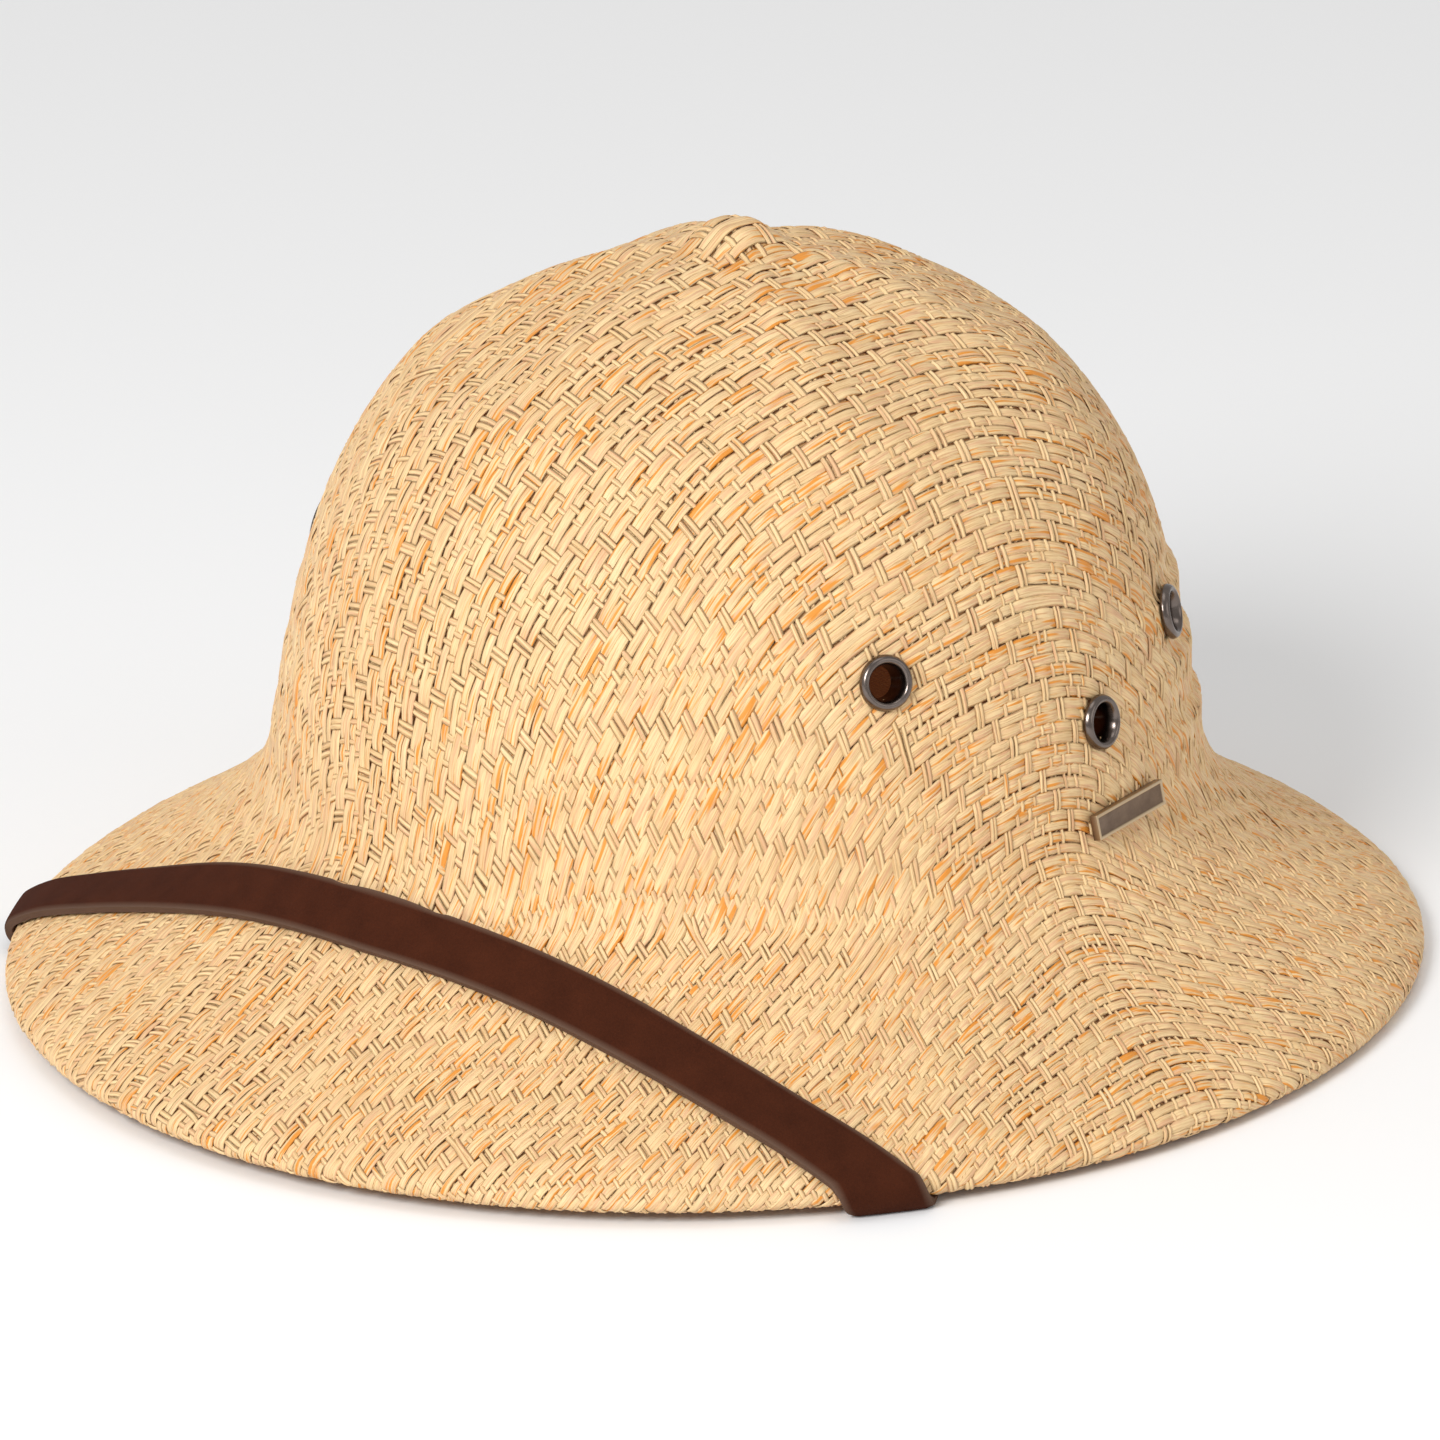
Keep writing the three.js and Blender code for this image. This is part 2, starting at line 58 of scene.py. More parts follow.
# %% Camera
AZIMUTH = math.radians(41.81)
ELEVATION = math.radians(19.94)
ROLL = math.radians(-0.41)
DISTANCE = 2980.6
PIXELS_PER_MM = 4.838
PICTURE = 1440
SENSOR = 36
HAT_MIDDLE = Vector((0, 0, 70))
HAT_MIDDLE_PIXEL = (715.1, 644.6)


def direction(azimuth, elevation):
    """From the hat outwards. Azimuth counts from the front, towards the wearer's left."""
    flat = math.cos(elevation)
    return Vector((math.sin(azimuth) * flat, -math.cos(azimuth) * flat, math.sin(elevation)))


towards = direction(AZIMUTH, ELEVATION)
level = Vector((math.cos(AZIMUTH), math.sin(AZIMUTH), 0))
upward = towards.cross(level)
right = level * math.cos(ROLL) + upward * math.sin(ROLL)
up = upward * math.cos(ROLL) - level * math.sin(ROLL)
aside = (PICTURE / 2 - HAT_MIDDLE_PIXEL[0]) / PIXELS_PER_MM
above = (HAT_MIDDLE_PIXEL[1] - PICTURE / 2) / PIXELS_PER_MM
eye = HAT_MIDDLE + right * aside + up * above + towards * DISTANCE

lens = bpy.data.cameras.new("camera")
lens.sensor_width = SENSOR
lens.lens = SENSOR * PIXELS_PER_MM * DISTANCE / PICTURE
lens.clip_end = 100
camera = bpy.data.objects.new("camera", lens)
camera.matrix_world = Matrix.Translation(eye * MM) @ Matrix((right, up, towards)).transposed().to_4x4()
bpy.context.scene.collection.objects.link(camera)
bpy.context.scene.camera = camera
print("lens, in mm:", round(lens.lens, 1))

# %% [markdown]
# ## Floor and light
# The hat stands on a plain pale floor in a white room. A large soft light from the camera's left makes the
# bright side, and a weaker one fills the right side, so that the weave throws short soft shadows.

# %% Floor and light
bpy.ops.object.select_all(action="DESELECT")


def new_material(name, **sockets):
    """A material with its node tree and shader. Each socket of the shader is named with _ for a space."""
    material = bpy.data.materials.new(name)
    material.use_nodes = True
    shader = material.node_tree.nodes["Principled BSDF"]
    for socket, value in sockets.items():
        shader.inputs[socket.replace("_", " ")].default_value = value
    return material, material.node_tree, shader


FLOOR_SIZE = 12
pale_floor = new_material("floor", Base_Color=(0.96, 0.96, 0.96, 1), Roughness=0.8)[0]
bpy.ops.mesh.primitive_plane_add(size=FLOOR_SIZE)
floor = bpy.context.object
floor.name = "floor"
floor.data.materials.append(pale_floor)


def soft_light(name, azimuth, elevation, distance, size, power):
    """An area light that looks at the hat."""
    light = bpy.data.lights.new(name, "AREA")
    light.shape = "DISK"
    light.size = size
    light.energy = power
    lamp = bpy.data.objects.new(name, light)
    way = direction(math.radians(azimuth), math.radians(elevation))
    lamp.location = HAT_MIDDLE * MM + way * distance
    lamp.rotation_euler = way.to_track_quat("Z", "Y").to_euler()
    bpy.context.scene.collection.objects.link(lamp)


soft_light("key_light", azimuth=12, elevation=33, distance=2.0, size=0.8, power=29)
soft_light("fill_light", azimuth=100, elevation=25, distance=2.4, size=1.6, power=5)
soft_light("top_light", azimuth=60, elevation=85, distance=2.2, size=1.2, power=4)

room = bpy.data.worlds.new("room")
room.use_nodes = True
backdrop = room.node_tree.nodes["Background"]
backdrop.inputs["Color"].default_value = (1, 1, 1, 1)
backdrop.inputs["Strength"].default_value = 0.54
bpy.context.scene.world = room
bpy.context.scene.view_settings.view_transform = "Standard"

# %% [markdown]
# ## The form that the straw is pressed over
# A hat like this is one flat piece of woven straw, steamed and pressed over a block. The form could be
# sculpted by eye, but then it would drift from the CAD shell, so it is worked out from the shell's own
# sizes. A place on it is given by an azimuth round the head, 0 at the front, and a place down the outline:
# 0 at the top, 1 at the crease, 2 at the edge, 3 where the hem has turned under, and 4 at the end of that
# strip.

# %% Sizes of the form
CROWN_HALF_LENGTH = 105.3
CROWN_HALF_WIDTH = 95.8
CROWN_SET_BACK = 6.6
CROWN_TOP = 157.3
CREASE_FRONT, CREASE_SIDE, CREASE_BACK = 42.3, 42.7, 34.7
BRIM_HALF_LENGTH = 152.4
BRIM_HALF_WIDTH = 141.9
WALL = 2.6
HEM_THICKNESS = 4.6
HEM_TURN = 11
HEM_EASE = 1.5
HEM_ARC = math.pi * HEM_THICKNESS / 2
BUTTON_RADIUS, BUTTON_FLAT, BUTTON_RISE = 13, 3, 4.3
RIDGE_COUNT, RIDGE_RISE = 6, 1.9
RIDGE_START, RIDGE_FULL, RIDGE_FADING, RIDGE_END = 0.03, 0.17, 0.3, 0.72
FOLD_STEP, FAINT_FOLD_STEP = 2.3, 0.5
FOLD_LINES = (0.739, 0.818, 0.897)
FOLD_LIP = 0.022  # softer than the CAD step, as cloth rounds it
FOLD_FAINT, FOLD_FULL = math.radians(98), math.radians(135)
STRAP_CROSSING = math.radians(54)
STRAP_THICKNESS = 2.4
CLEARANCE = 0.3

# reach (share of the crease's reach), height (share of the rise from the crease to the top)
CROWN_OUTLINE = np.array([
    (0.0, 1.0), (0.114, 0.989), (0.218, 0.962), (0.394, 0.904), (0.51, 0.852),
    (0.639, 0.786), (0.735, 0.696), (0.814, 0.589), (0.862, 0.492), (0.897, 0.39),
    (0.923, 0.29), (0.944, 0.19), (0.96, 0.105), (0.976, 0.045), (1.0, 0.0),
])
# out (share of the brim's width), drop (share of its fall)
BRIM_OUTLINE = np.array([
    (0.0, 0.0), (0.055, 0.1), (0.13, 0.205), (0.35, 0.445),
    (0.65, 0.69), (0.86, 0.85), (0.95, 0.94), (1.0, 1.0),
])

# %% The smooth outlines, for every azimuth at once
ROWS = 720  # azimuths in the table of the form
STEPS = 240  # places in the table between two whole numbers
azimuths = np.arange(ROWS) * 2 * math.pi / ROWS


def smoothstep(value, low, high):
    share = np.clip((value - low) / (high - low), 0, 1)
    return share * share * (3 - 2 * share)


def oval(azimuth, half_length, half_width):
    reach = 1 / np.hypot(np.cos(azimuth) / half_length, np.sin(azimuth) / half_width)
    return np.stack([reach * np.sin(azimuth), -reach * np.cos(azimuth), 0 * reach], -1)


def crease_points(azimuth):
    points = oval(azimuth, CROWN_HALF_LENGTH, CROWN_HALF_WIDTH)
    forward = np.cos(azimuth)
    lean = (CREASE_FRONT - CREASE_BACK) / 2
    bow = (CREASE_FRONT + CREASE_BACK) / 2 - CREASE_SIDE
    points[:, 1] += CROWN_SET_BACK
    points[:, 2] = CREASE_SIDE + lean * forward + bow * forward**2
    return points


def edge_points(azimuth):
    points = oval(azimuth, BRIM_HALF_LENGTH, BRIM_HALF_WIDTH)
    wrap_forward = -oval(np.array([STRAP_CROSSING]), BRIM_HALF_LENGTH, BRIM_HALF_WIDTH)[0, 1]
    slope = (STRAP_THICKNESS + CLEARANCE) / (wrap_forward + BRIM_HALF_LENGTH)
    points[:, 2] = HEM_THICKNESS + (BRIM_HALF_LENGTH - points[:, 1]) * slope
    return points


def smooth_curve(points, per_span=24):
    """A centripetal curve through points[:, k], evenly resampled, and its lengths."""
    first = 2 * points[:, :1] - points[:, 1:2]
    last = 2 * points[:, -1:] - points[:, -2:-1]
    p = np.concatenate([first, points, last], axis=1)
    knots = np.sqrt(np.linalg.norm(np.diff(p, axis=1), axis=2))[..., None]
    p0, p1, p2, p3 = p[:, :-3], p[:, 1:-2], p[:, 2:-1], p[:, 3:]
    d0, d1, d2 = knots[:, :-2], knots[:, 1:-1], knots[:, 2:]
    leave = d1 * ((p1 - p0) / d0 - (p2 - p0) / (d0 + d1) + (p2 - p1) / d1)
    arrive = d1 * ((p2 - p1) / d1 - (p3 - p1) / (d1 + d2) + (p3 - p2) / d2)
    spans = [
        p1 + leave * u + (3 * (p2 - p1) - 2 * leave - arrive) * u**2 + (2 * (p1 - p2) + leave + arrive) * u**3
        for u in np.linspace(0, 1, per_span, endpoint=False)
    ]
    curve = np.stack(spans, axis=2).reshape(len(points), -1, 3)
    curve = np.concatenate([curve, points[:, -1:]], axis=1)
    steps = np.linalg.norm(np.diff(curve, axis=1), axis=2)
    lengths = np.concatenate([np.zeros((len(points), 1)), np.cumsum(steps, axis=1)], axis=1)
    even = np.empty((len(points), STEPS + 1, 3))
    for row in range(len(points)):
        wanted = np.linspace(0, lengths[row, -1], STEPS + 1)
        for axis in range(3):
            even[row, :, axis] = np.interp(wanted, lengths[row], curve[row, :, axis])
    return even, lengths[:, -1]


crease = crease_points(azimuths)
edge = edge_points(azimuths)
crown_rows = np.zeros((ROWS, len(CROWN_OUTLINE), 3))
crown_rows[..., 1] = CROWN_SET_BACK
crown_rows += (crease[:, None] - crown_rows) * CROWN_OUTLINE[None, :, :1]
crown_rows[..., 2] = crease[:, 2:] + CROWN_OUTLINE[None, :, 1] * (CROWN_TOP - crease[:, 2:])
brim_rows = crease[:, None] + (edge - crease)[:, None] * BRIM_OUTLINE[None, :, :1]
brim_rows[..., 2] = crease[:, 2:] + BRIM_OUTLINE[None, :, 1] * (edge[:, 2:] - crease[:, 2:])
crown_curve, crown_length = smooth_curve(crown_rows)
brim_curve, brim_length = smooth_curve(brim_rows)
print("crown outline, mm:", round(crown_length[0], 1), "brim outline, mm:", round(brim_length[0], 1))

# %% [markdown]
# ## Pressed details of the form
# The button at the top, six soft ridges that run down from it, and three stepped folds round the back are
# pressed into the same sheet. Each one lifts the skin along its normal, as in the CAD shell.

# %% Relief, and the table of the whole form
smooth_skin = np.concatenate([crown_curve, brim_curve[:, 1:]], axis=1)
places = np.linspace(0, 2, 2 * STEPS + 1)
down = np.gradient(smooth_skin, axis=1)
down /= np.linalg.norm(down, axis=2, keepdims=True)
around = np.roll(smooth_skin, -1, axis=0) - np.roll(smooth_skin, 1, axis=0)
around[:, :2] = around[:, 2:3]
normal = np.cross(down, around)
normal /= np.linalg.norm(normal, axis=2, keepdims=True)


def ridges(azimuth, place):
    crest = (0.5 + 0.5 * np.cos(RIDGE_COUNT * azimuth)) ** 2
    fade = 1 - smoothstep(place, RIDGE_FADING, RIDGE_END)
    return RIDGE_RISE * crest * smoothstep(place, RIDGE_START, RIDGE_FULL) * fade


def folds(azimuth, place):
    pitch = FOLD_LINES[1] - FOLD_LINES[0]
    first, last = FOLD_LINES[0], FOLD_LINES[-1]
    fade = smoothstep(place, first - pitch, first - FOLD_LIP) * (1 - smoothstep(place, last + FOLD_LIP, 1))
    stepped = sum(smoothstep(place, line - FOLD_LIP, line) for line in FOLD_LINES)
    steady = np.clip((place - first) / pitch + 0.5, 0, len(FOLD_LINES))
    from_front = np.abs((azimuth + math.pi) % (2 * math.pi) - math.pi)
    share = smoothstep(from_front, FOLD_FAINT, FOLD_FULL)
    return (FAINT_FOLD_STEP + (FOLD_STEP - FAINT_FOLD_STEP) * share) * (stepped - steady) * fade


row, column = azimuths[:, None], places[None, :]
way = column * crown_length[:, None]
button = BUTTON_RISE * (1 - smoothstep(way, BUTTON_FLAT, BUTTON_RADIUS))
relief = np.where(column > 1, 0, button + ridges(row, column) + folds(row, column))
skin = smooth_skin + normal * relief[..., None]

turn = np.linspace(0, math.pi, STEPS + 1)[None, 1:, None]
radius = HEM_THICKNESS / 2
hem_normal = normal[:, -1:] * np.cos(turn) + down[:, -1:] * np.sin(turn)
hem_skin = skin[:, -1:] - normal[:, -1:] * radius + hem_normal * radius
strip_places = 2 - np.linspace(0, HEM_TURN, STEPS + 1)[None, 1:] / brim_length[:, None]


def along(table, place):
    """The table's values at one place in each of its rows."""
    at = place * STEPS
    low = np.minimum(at.astype(int), table.shape[1] - 2)
    share = (at - low)[..., None]
    rows = np.arange(len(table))[:, None]
    return table[rows, low] * (1 - share) + table[rows, low + 1] * share


strip_normal = -along(normal, strip_places)
strip_skin = along(skin, strip_places) + strip_normal * HEM_THICKNESS
FORM = np.concatenate([skin, hem_skin, strip_skin], axis=1)
NORMALS = np.concatenate([normal, hem_normal, strip_normal], axis=1)
shell_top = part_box("helmet_shell")[1].z / MM
FORM[..., 2] += shell_top - (CROWN_TOP + BUTTON_RISE)
print("the form's box, mm:", FORM.min((0, 1)).round(1), FORM.max((0, 1)).round(1))


def look_up(table, azimuth, place):
    """The table's values at azimuths and places, between its rows and columns."""
    across = (azimuth / (2 * math.pi)) % 1 * ROWS
    at = np.clip(place, 0, 4 - 1e-6) * STEPS
    r0 = np.floor(across).astype(int) % ROWS
    r1 = (r0 + 1) % ROWS
    c0 = at.astype(int)
    u = (across - np.floor(across))[..., None]
    v = (at - c0)[..., None]
    near = table[r0, c0] * (1 - v) + table[r0, c0 + 1] * v
    far = table[r1, c0] * (1 - v) + table[r1, c0 + 1] * v
    return near * (1 - u) + far * u


FLOOR_GAP = 0.02  # the lowest straw lies this far over the floor


def on_form(azimuth, place, lift=0.0):
    """Points on the form, lifted off it, in metres. The floor presses whatever would lie under it flat."""
    points = look_up(FORM, azimuth, place) + look_up(NORMALS, azimuth, place) * np.asarray(lift)[..., None]
    points[..., 2] = np.maximum(points[..., 2], FLOOR_GAP)
    return points * MM


# %% [markdown]
# ## How flat cloth lies on the form
# Woven cloth hardly stretches along its strands. Pressed over a dome it shears instead: at the front, back
# and sides its strands still cross squarely, and half way between they close up like scissors, which gives
# the steep herringbone look there. A cloth simulation could find this, but a map is quicker and repeats
# exactly. It says where a place on the form lies on the flat cloth, in millimetres. It mixes two simple maps
# of a dome, one that keeps the way from the top and one that keeps the strands' spacing, and it is turned
# round once, in a table, to place each strand.

# %% The cloth map
DOME_ANGLE = math.radians(78)  # the dome's share of a ball, from its top to its rim
ROUND_SHARE = 0.4  # share of the map that keeps the way from the top
CLOTH_TURN = math.radians(-7)  # the cloth was laid on the block a little askew


def length_at(lengths, azimuth):
    whole_turn = np.append(azimuths, 2 * math.pi)
    return np.interp(azimuth % (2 * math.pi), whole_turn, np.append(lengths, lengths[0]))


def to_cloth(x, y):
    """From unrolled polar coordinates, x to the wearer's left and y to the front, to the flat cloth."""
    azimuth = np.arctan2(x, y)
    distance = np.hypot(x, y) + 1e-9
    crown = length_at(crown_length, azimuth)
    inside = np.minimum(distance, crown)
    ball = crown / DOME_ANGLE
    angle = inside / ball
    left, front = np.sin(azimuth - CLOTH_TURN), np.cos(azimuth - CLOTH_TURN)
    net_x = ball * np.arcsin(np.sin(angle) * left) + (distance - inside) * left
    net_y = ball * np.arcsin(np.sin(angle) * front) + (distance - inside) * front
    round_part, net_part = ROUND_SHARE * distance, 1 - ROUND_SHARE
    return round_part * left + net_part * net_x, round_part * front + net_part * net_y


CLOTH_REACH = 262
CLOTH_CELL = 1.0
ticks = np.arange(-CLOTH_REACH, CLOTH_REACH + CLOTH_CELL, CLOTH_CELL)
cloth_x, cloth_y = np.meshgrid(ticks, ticks, indexing="ij")
unrolled_x, unrolled_y = cloth_x.copy(), cloth_y.copy()
NUDGE = 0.02
LONGEST_MOVE = 12  # a try moves a point no further than this
DAMPING = 0.8
TRIES = 24
for _ in range(TRIES):
    at_x, at_y = to_cloth(unrolled_x, unrolled_y)
    xx, xy = to_cloth(unrolled_x + NUDGE, unrolled_y)
    yx, yy = to_cloth(unrolled_x, unrolled_y + NUDGE)
    a, c = (xx - at_x) / NUDGE, (xy - at_y) / NUDGE
    b, d = (yx - at_x) / NUDGE, (yy - at_y) / NUDGE
    miss_x, miss_y = cloth_x - at_x, cloth_y - at_y
    room_left = np.maximum(a * d - b * c, 0.08)
    unrolled_x += DAMPING * np.clip((d * miss_x - b * miss_y) / room_left, -LONGEST_MOVE, LONGEST_MOVE)
    unrolled_y += DAMPING * np.clip((a * miss_y - c * miss_x) / room_left, -LONGEST_MOVE, LONGEST_MOVE)
print("largest miss of the cloth map, mm:", round(float(np.hypot(miss_x, miss_y).max()), 3))


STRAY = 0.8


def astray(x, y):
    """Woven cloth is never quite even: the two families wander off together by up to this much."""
    aside = STRAY * np.sin(y / 11 + 0.7 * np.sin(x / 17))
    along_it = STRAY * np.sin(x / 12 + 0.8 * np.sin(y / 15))
    return x + aside, y + along_it


def from_cloth(x, y):
    """From the flat cloth to azimuth and place on the form, and how far past the strip's end it lies."""
    x, y = astray(x, y)
    at_x = np.clip((x + CLOTH_REACH) / CLOTH_CELL, 0, len(ticks) - 1.001)
    at_y = np.clip((y + CLOTH_REACH) / CLOTH_CELL, 0, len(ticks) - 1.001)
    i, j = at_x.astype(int), at_y.astype(int)
    u, v = at_x - i, at_y - j
    found = []
    for table in (unrolled_x, unrolled_y):
        near = table[i, j] * (1 - v) + table[i, j + 1] * v
        far = table[i + 1, j] * (1 - v) + table[i + 1, j + 1] * v
        found.append(near * (1 - u) + far * u)
    azimuth = np.arctan2(found[0], found[1])
    distance = np.hypot(found[0], found[1])
    crown, brim = length_at(crown_length, azimuth), length_at(brim_length, azimuth)
    place = np.where(distance < crown, distance / crown, 1 + (distance - crown) / brim)
    past_edge = distance - crown - brim
    place = np.where(past_edge > 0, 2 + past_edge / HEM_ARC, place)
    past_hem = past_edge - HEM_ARC
    place = np.where(past_hem > 0, 3 + past_hem / HEM_TURN, place)
    return azimuth, np.minimum(place, 4), past_hem - HEM_TURN


# %% [markdown]
# ## Where the metal sits
# The vents let air into the crown. Their eyelets stand where the CAD nodes stand, so the places are
# measured on the nodes and not typed in again. An eyelet is round, so its axis is the one direction in
# which the spread of its points differs from the other two.

# %% Seats of the eyelets
def node_points(name):
    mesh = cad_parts[name].data
    points = np.empty(3 * len(mesh.vertices))
    mesh.vertices.foreach_get("co", points)
    return np.unique(points.reshape(-1, 3).round(6), axis=0)


def round_seat(name):
    """Centre, outward axis and heights along it of a round CAD node, in metres."""
    points = node_points(name)
    centre = points.mean(0)
    spread, directions = np.linalg.eigh(np.cov((points - centre).T))
    lone = 0 if spread[2] - spread[1] < spread[1] - spread[0] else 2
    axis = directions[:, lone]
    outward = centre - np.array([0, CROWN_SET_BACK * MM, centre[2]])
    if axis @ outward < 0:
        axis = -axis
    heights = (points - centre) @ axis
    return centre, axis, heights.min(), heights.max()


EYELETS = [f"vent_eyelet_{side}_{k}" for side in ("left", "right") for k in (1, 2, 3)]
seats = {name: round_seat(name) for name in EYELETS}
for name, (centre, axis, low, high) in seats.items():
    print(name, (centre / MM).round(1), axis.round(2), round((high - low) / MM, 2))

# %% [markdown]
# ## The strands
# Two families cross: flat ribbons of raffia from front to back, and narrow round strands from side to
# side. Both go two by two. In one band a pair of strands lies over a pair of ribbons, in the next the
# ribbons lie on top, and then come two bands of plain weave, where every single strand goes its own way.
# Each strand is a long closed tube. There are too many of them to model by hand, so their points are
# worked out in arrays and each group is written as one joined mesh.

# %% Pattern and sizes of the weave
RIBBON_PITCH = 2.3
STRAND_PITCH = 2.4
STRANDS_UP, RIBBONS_UP, PLAIN = 0, 1, 2
BANDS = np.array([STRANDS_UP, RIBBONS_UP, PLAIN, PLAIN, RIBBONS_UP])
FAULTS = 0.018  # share of the crossings where the weaver slipped
WEAVE_LEVEL = -0.2  # middle of the weave, from the CAD skin
WEAVE_SWING = 0.2  # a strand moves this far up and down from the middle
EYELET_GAP = 4.3  # strands end this far from an eyelet's axis
EYELET_REACH = 20  # along the axis; straw further away is on the other side of the hat
WIDEST = 1.3  # a strand widens at most this much where the cloth is sheared
SHUFFLE = (12.9898, 78.233, 43758.5453)  # they scramble the two numbers of a crossing into a die's throw
rng = np.random.default_rng(7)


def wander(strands, positions, wavelength, seed):
    """Smooth noise from -1 to 1 along each strand."""
    draws = np.random.default_rng(seed)
    knots = np.arange(positions[0] - wavelength, positions[-1] + 2 * wavelength, wavelength)
    values = draws.uniform(-1, 1, (strands, len(knots)))
    return np.stack([np.interp(positions, knots, line) for line in values])


def band_at(ribbon, strand):
    return BANDS[(ribbon // 2 + strand // 2).astype(int) % len(BANDS)]


def ribbon_on_top(ribbon, strand):
    """1 where the ribbon is over the strand, with a few faults, as in real weaving."""
    band = band_at(ribbon, strand)
    top = np.where(band == PLAIN, (ribbon + strand) % 2, band == RIBBONS_UP)
    dice = np.sin(ribbon // 2 * SHUFFLE[0] + strand // 2 * SHUFFLE[1]) * SHUFFLE[2]
    return np.where(dice - np.floor(dice) < FAULTS, 1 - top, top)


def eased(values):
    """Values along each strand, evened out over the stations next to each one."""
    padded = np.pad(values, ((0, 0), (2, 2)), mode="edge")
    weights = (1, 2, 3, 2, 1)
    return sum(w * padded[:, k: k + values.shape[1]] for k, w in enumerate(weights)) / sum(weights)


def closing(x, y):
    """How much a strand widens in the cloth's own millimetres where the strands close up like scissors."""
    here = on_form(*from_cloth(x, y)[:2])
    step_x = on_form(*from_cloth(x + 1, y)[:2]) - here
    step_y = on_form(*from_cloth(x, y + 1)[:2]) - here
    area = np.linalg.norm(np.cross(step_x, step_y), axis=-1)
    square = np.linalg.norm(step_x, axis=-1) * np.linalg.norm(step_y, axis=-1)
    return np.clip(square / (area + 1e-12), 1, WIDEST)


def clear_of_eyelets(points):
    """True where points, in metres, aren't in an eyelet's hole."""
    clear = np.ones(points.shape[:-1], bool)
    for centre, axis, _, _ in seats.values():
        away = points - centre
        height = away @ axis
        aside = np.linalg.norm(away - height[..., None] * axis, axis=-1)
        clear &= (aside > EYELET_GAP * MM) | (np.abs(height) > EYELET_REACH * MM)
    return clear


# %% Building one family
def fill(data, field, values):
    """Set one field of all of a mesh's elements at once."""
    data.foreach_set(field, np.asarray(values, np.float32).ravel())


def tubes(name, points, keep, tint, warmth, grain, material):
    """A joined mesh of closed tubes: points is [strand, station, corner, 3], keep the stations that exist."""
    strands, stations, corners, _ = points.shape
    number = np.full((strands, stations), -1)
    number[keep] = np.arange(keep.sum())
    joined = keep[:, :-1] & keep[:, 1:]
    here, there = number[:, :-1][joined] * corners, number[:, 1:][joined] * corners
    quads = []
    for k in range(corners):
        n = (k + 1) % corners
        quads.append(np.stack([here + k, there + k, there + n, here + n], 1))
    quads = np.concatenate(quads)
    padded = np.pad(keep, ((0, 0), (1, 1)))
    starts = number[padded[:, 1:-1] & ~padded[:, :-2] & padded[:, 2:]]
    ends = number[padded[:, 1:-1] & ~padded[:, 2:] & padded[:, :-2]]
    first = np.stack([starts * corners + k for k in range(corners)], 1)
    last = np.stack([ends * corners + k for k in reversed(range(corners))], 1)
    caps = np.concatenate([first, last])
    corner_index = np.concatenate([quads.ravel(), caps.ravel()])
    loop_starts = np.concatenate([
        np.arange(len(quads)) * 4,
        len(quads) * 4 + np.arange(len(caps)) * corners,
    ])
    mesh = bpy.data.meshes.new(name)
    mesh.vertices.add(int(keep.sum()) * corners)
    fill(mesh.vertices, "co", points[keep])
    mesh.loops.add(len(corner_index))
    mesh.loops.foreach_set("vertex_index", corner_index.astype(np.int32))
    mesh.polygons.add(len(loop_starts))
    mesh.polygons.foreach_set("loop_start", loop_starts.astype(np.int32))
    shown = np.arange(len(loop_starts)) < (corners - 1) * joined.sum()  # all but the undersides and the caps
    mesh.polygons.foreach_set("use_smooth", shown)
    mesh.update(calc_edges=True)
    colours = mesh.attributes.new("tint", "FLOAT_COLOR", "POINT")
    plain = np.repeat(tint[keep], corners, axis=0)
    fill(colours.data, "color", np.append(plain, np.ones((len(plain), 1)), axis=1))
    warm = mesh.attributes.new("warmth", "FLOAT", "POINT")
    fill(warm.data, "value", np.repeat(warmth[keep], corners))
    layer = mesh.uv_layers.new(name="grain")
    fill(layer.data, "uv", grain[keep].reshape(-1, 2)[corner_index])
    mesh.materials.append(material)
    mesh.validate()
    piece = bpy.data.objects.new(name, mesh)
    bpy.context.scene.collection.objects.link(piece)
    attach(piece, "root")
    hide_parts("helmet_shell")
    print(name, len(quads) * 2 + len(caps) * (corners - 2), "triangles")


# %% [markdown]
# ## Straw
# Raffia is a dry leaf: cream to tan, with finer fibres along it, now and then an orange or a pinkish length,
# and a low sheen. A pattern in the hat's space would run across the strands, so each strand carries its own
# tint as an attribute, and the fibres come from a noise that is stretched along it in its own coordinates.

# %% Colours, and small helpers for materials
def srgb(red, green, blue):
    """A colour as a screen shows it, turned into the linear numbers that Blender works with."""
    shares = np.array([red, green, blue]) / 255
    return np.where(shares <= 0.04045, shares / 12.92, ((shares + 0.055) / 1.055) ** 2.4)


CREAM = srgb(240, 209, 158)
TAN = srgb(227, 189, 134)
ORANGE = srgb(224, 142, 44)
PINK = srgb(216, 160, 122)
BROWN = srgb(188, 138, 84)


def node(tree, kind, **settings):
    made = tree.nodes.new(kind)
    for name, value in settings.items():
        if name in made.inputs:
            made.inputs[name].default_value = value
        else:
            setattr(made, name, value)
    return made


def ramp(tree, value, low, high, top=1.0, bottom=0.0):
    """A number that goes from bottom to top while value goes from low to high."""
    made = node(tree, "ShaderNodeMapRange")
    for name, number in {"From Min": low, "From Max": high, "To Min": bottom, "To Max": top}.items():
        made.inputs[name].default_value = number
    tree.links.new(value, made.inputs["Value"])
    return made.outputs["Result"]


def tinted(tree, below, colour, amount):
    """The colour below, turned towards a plain colour by an amount."""
    made = node(tree, "ShaderNodeMix", data_type="RGBA")
    made.inputs[7].default_value = (*colour, 1)
    tree.links.new(below, made.inputs[6])
    tree.links.new(amount, made.inputs["Factor"])
    return made.outputs[2]


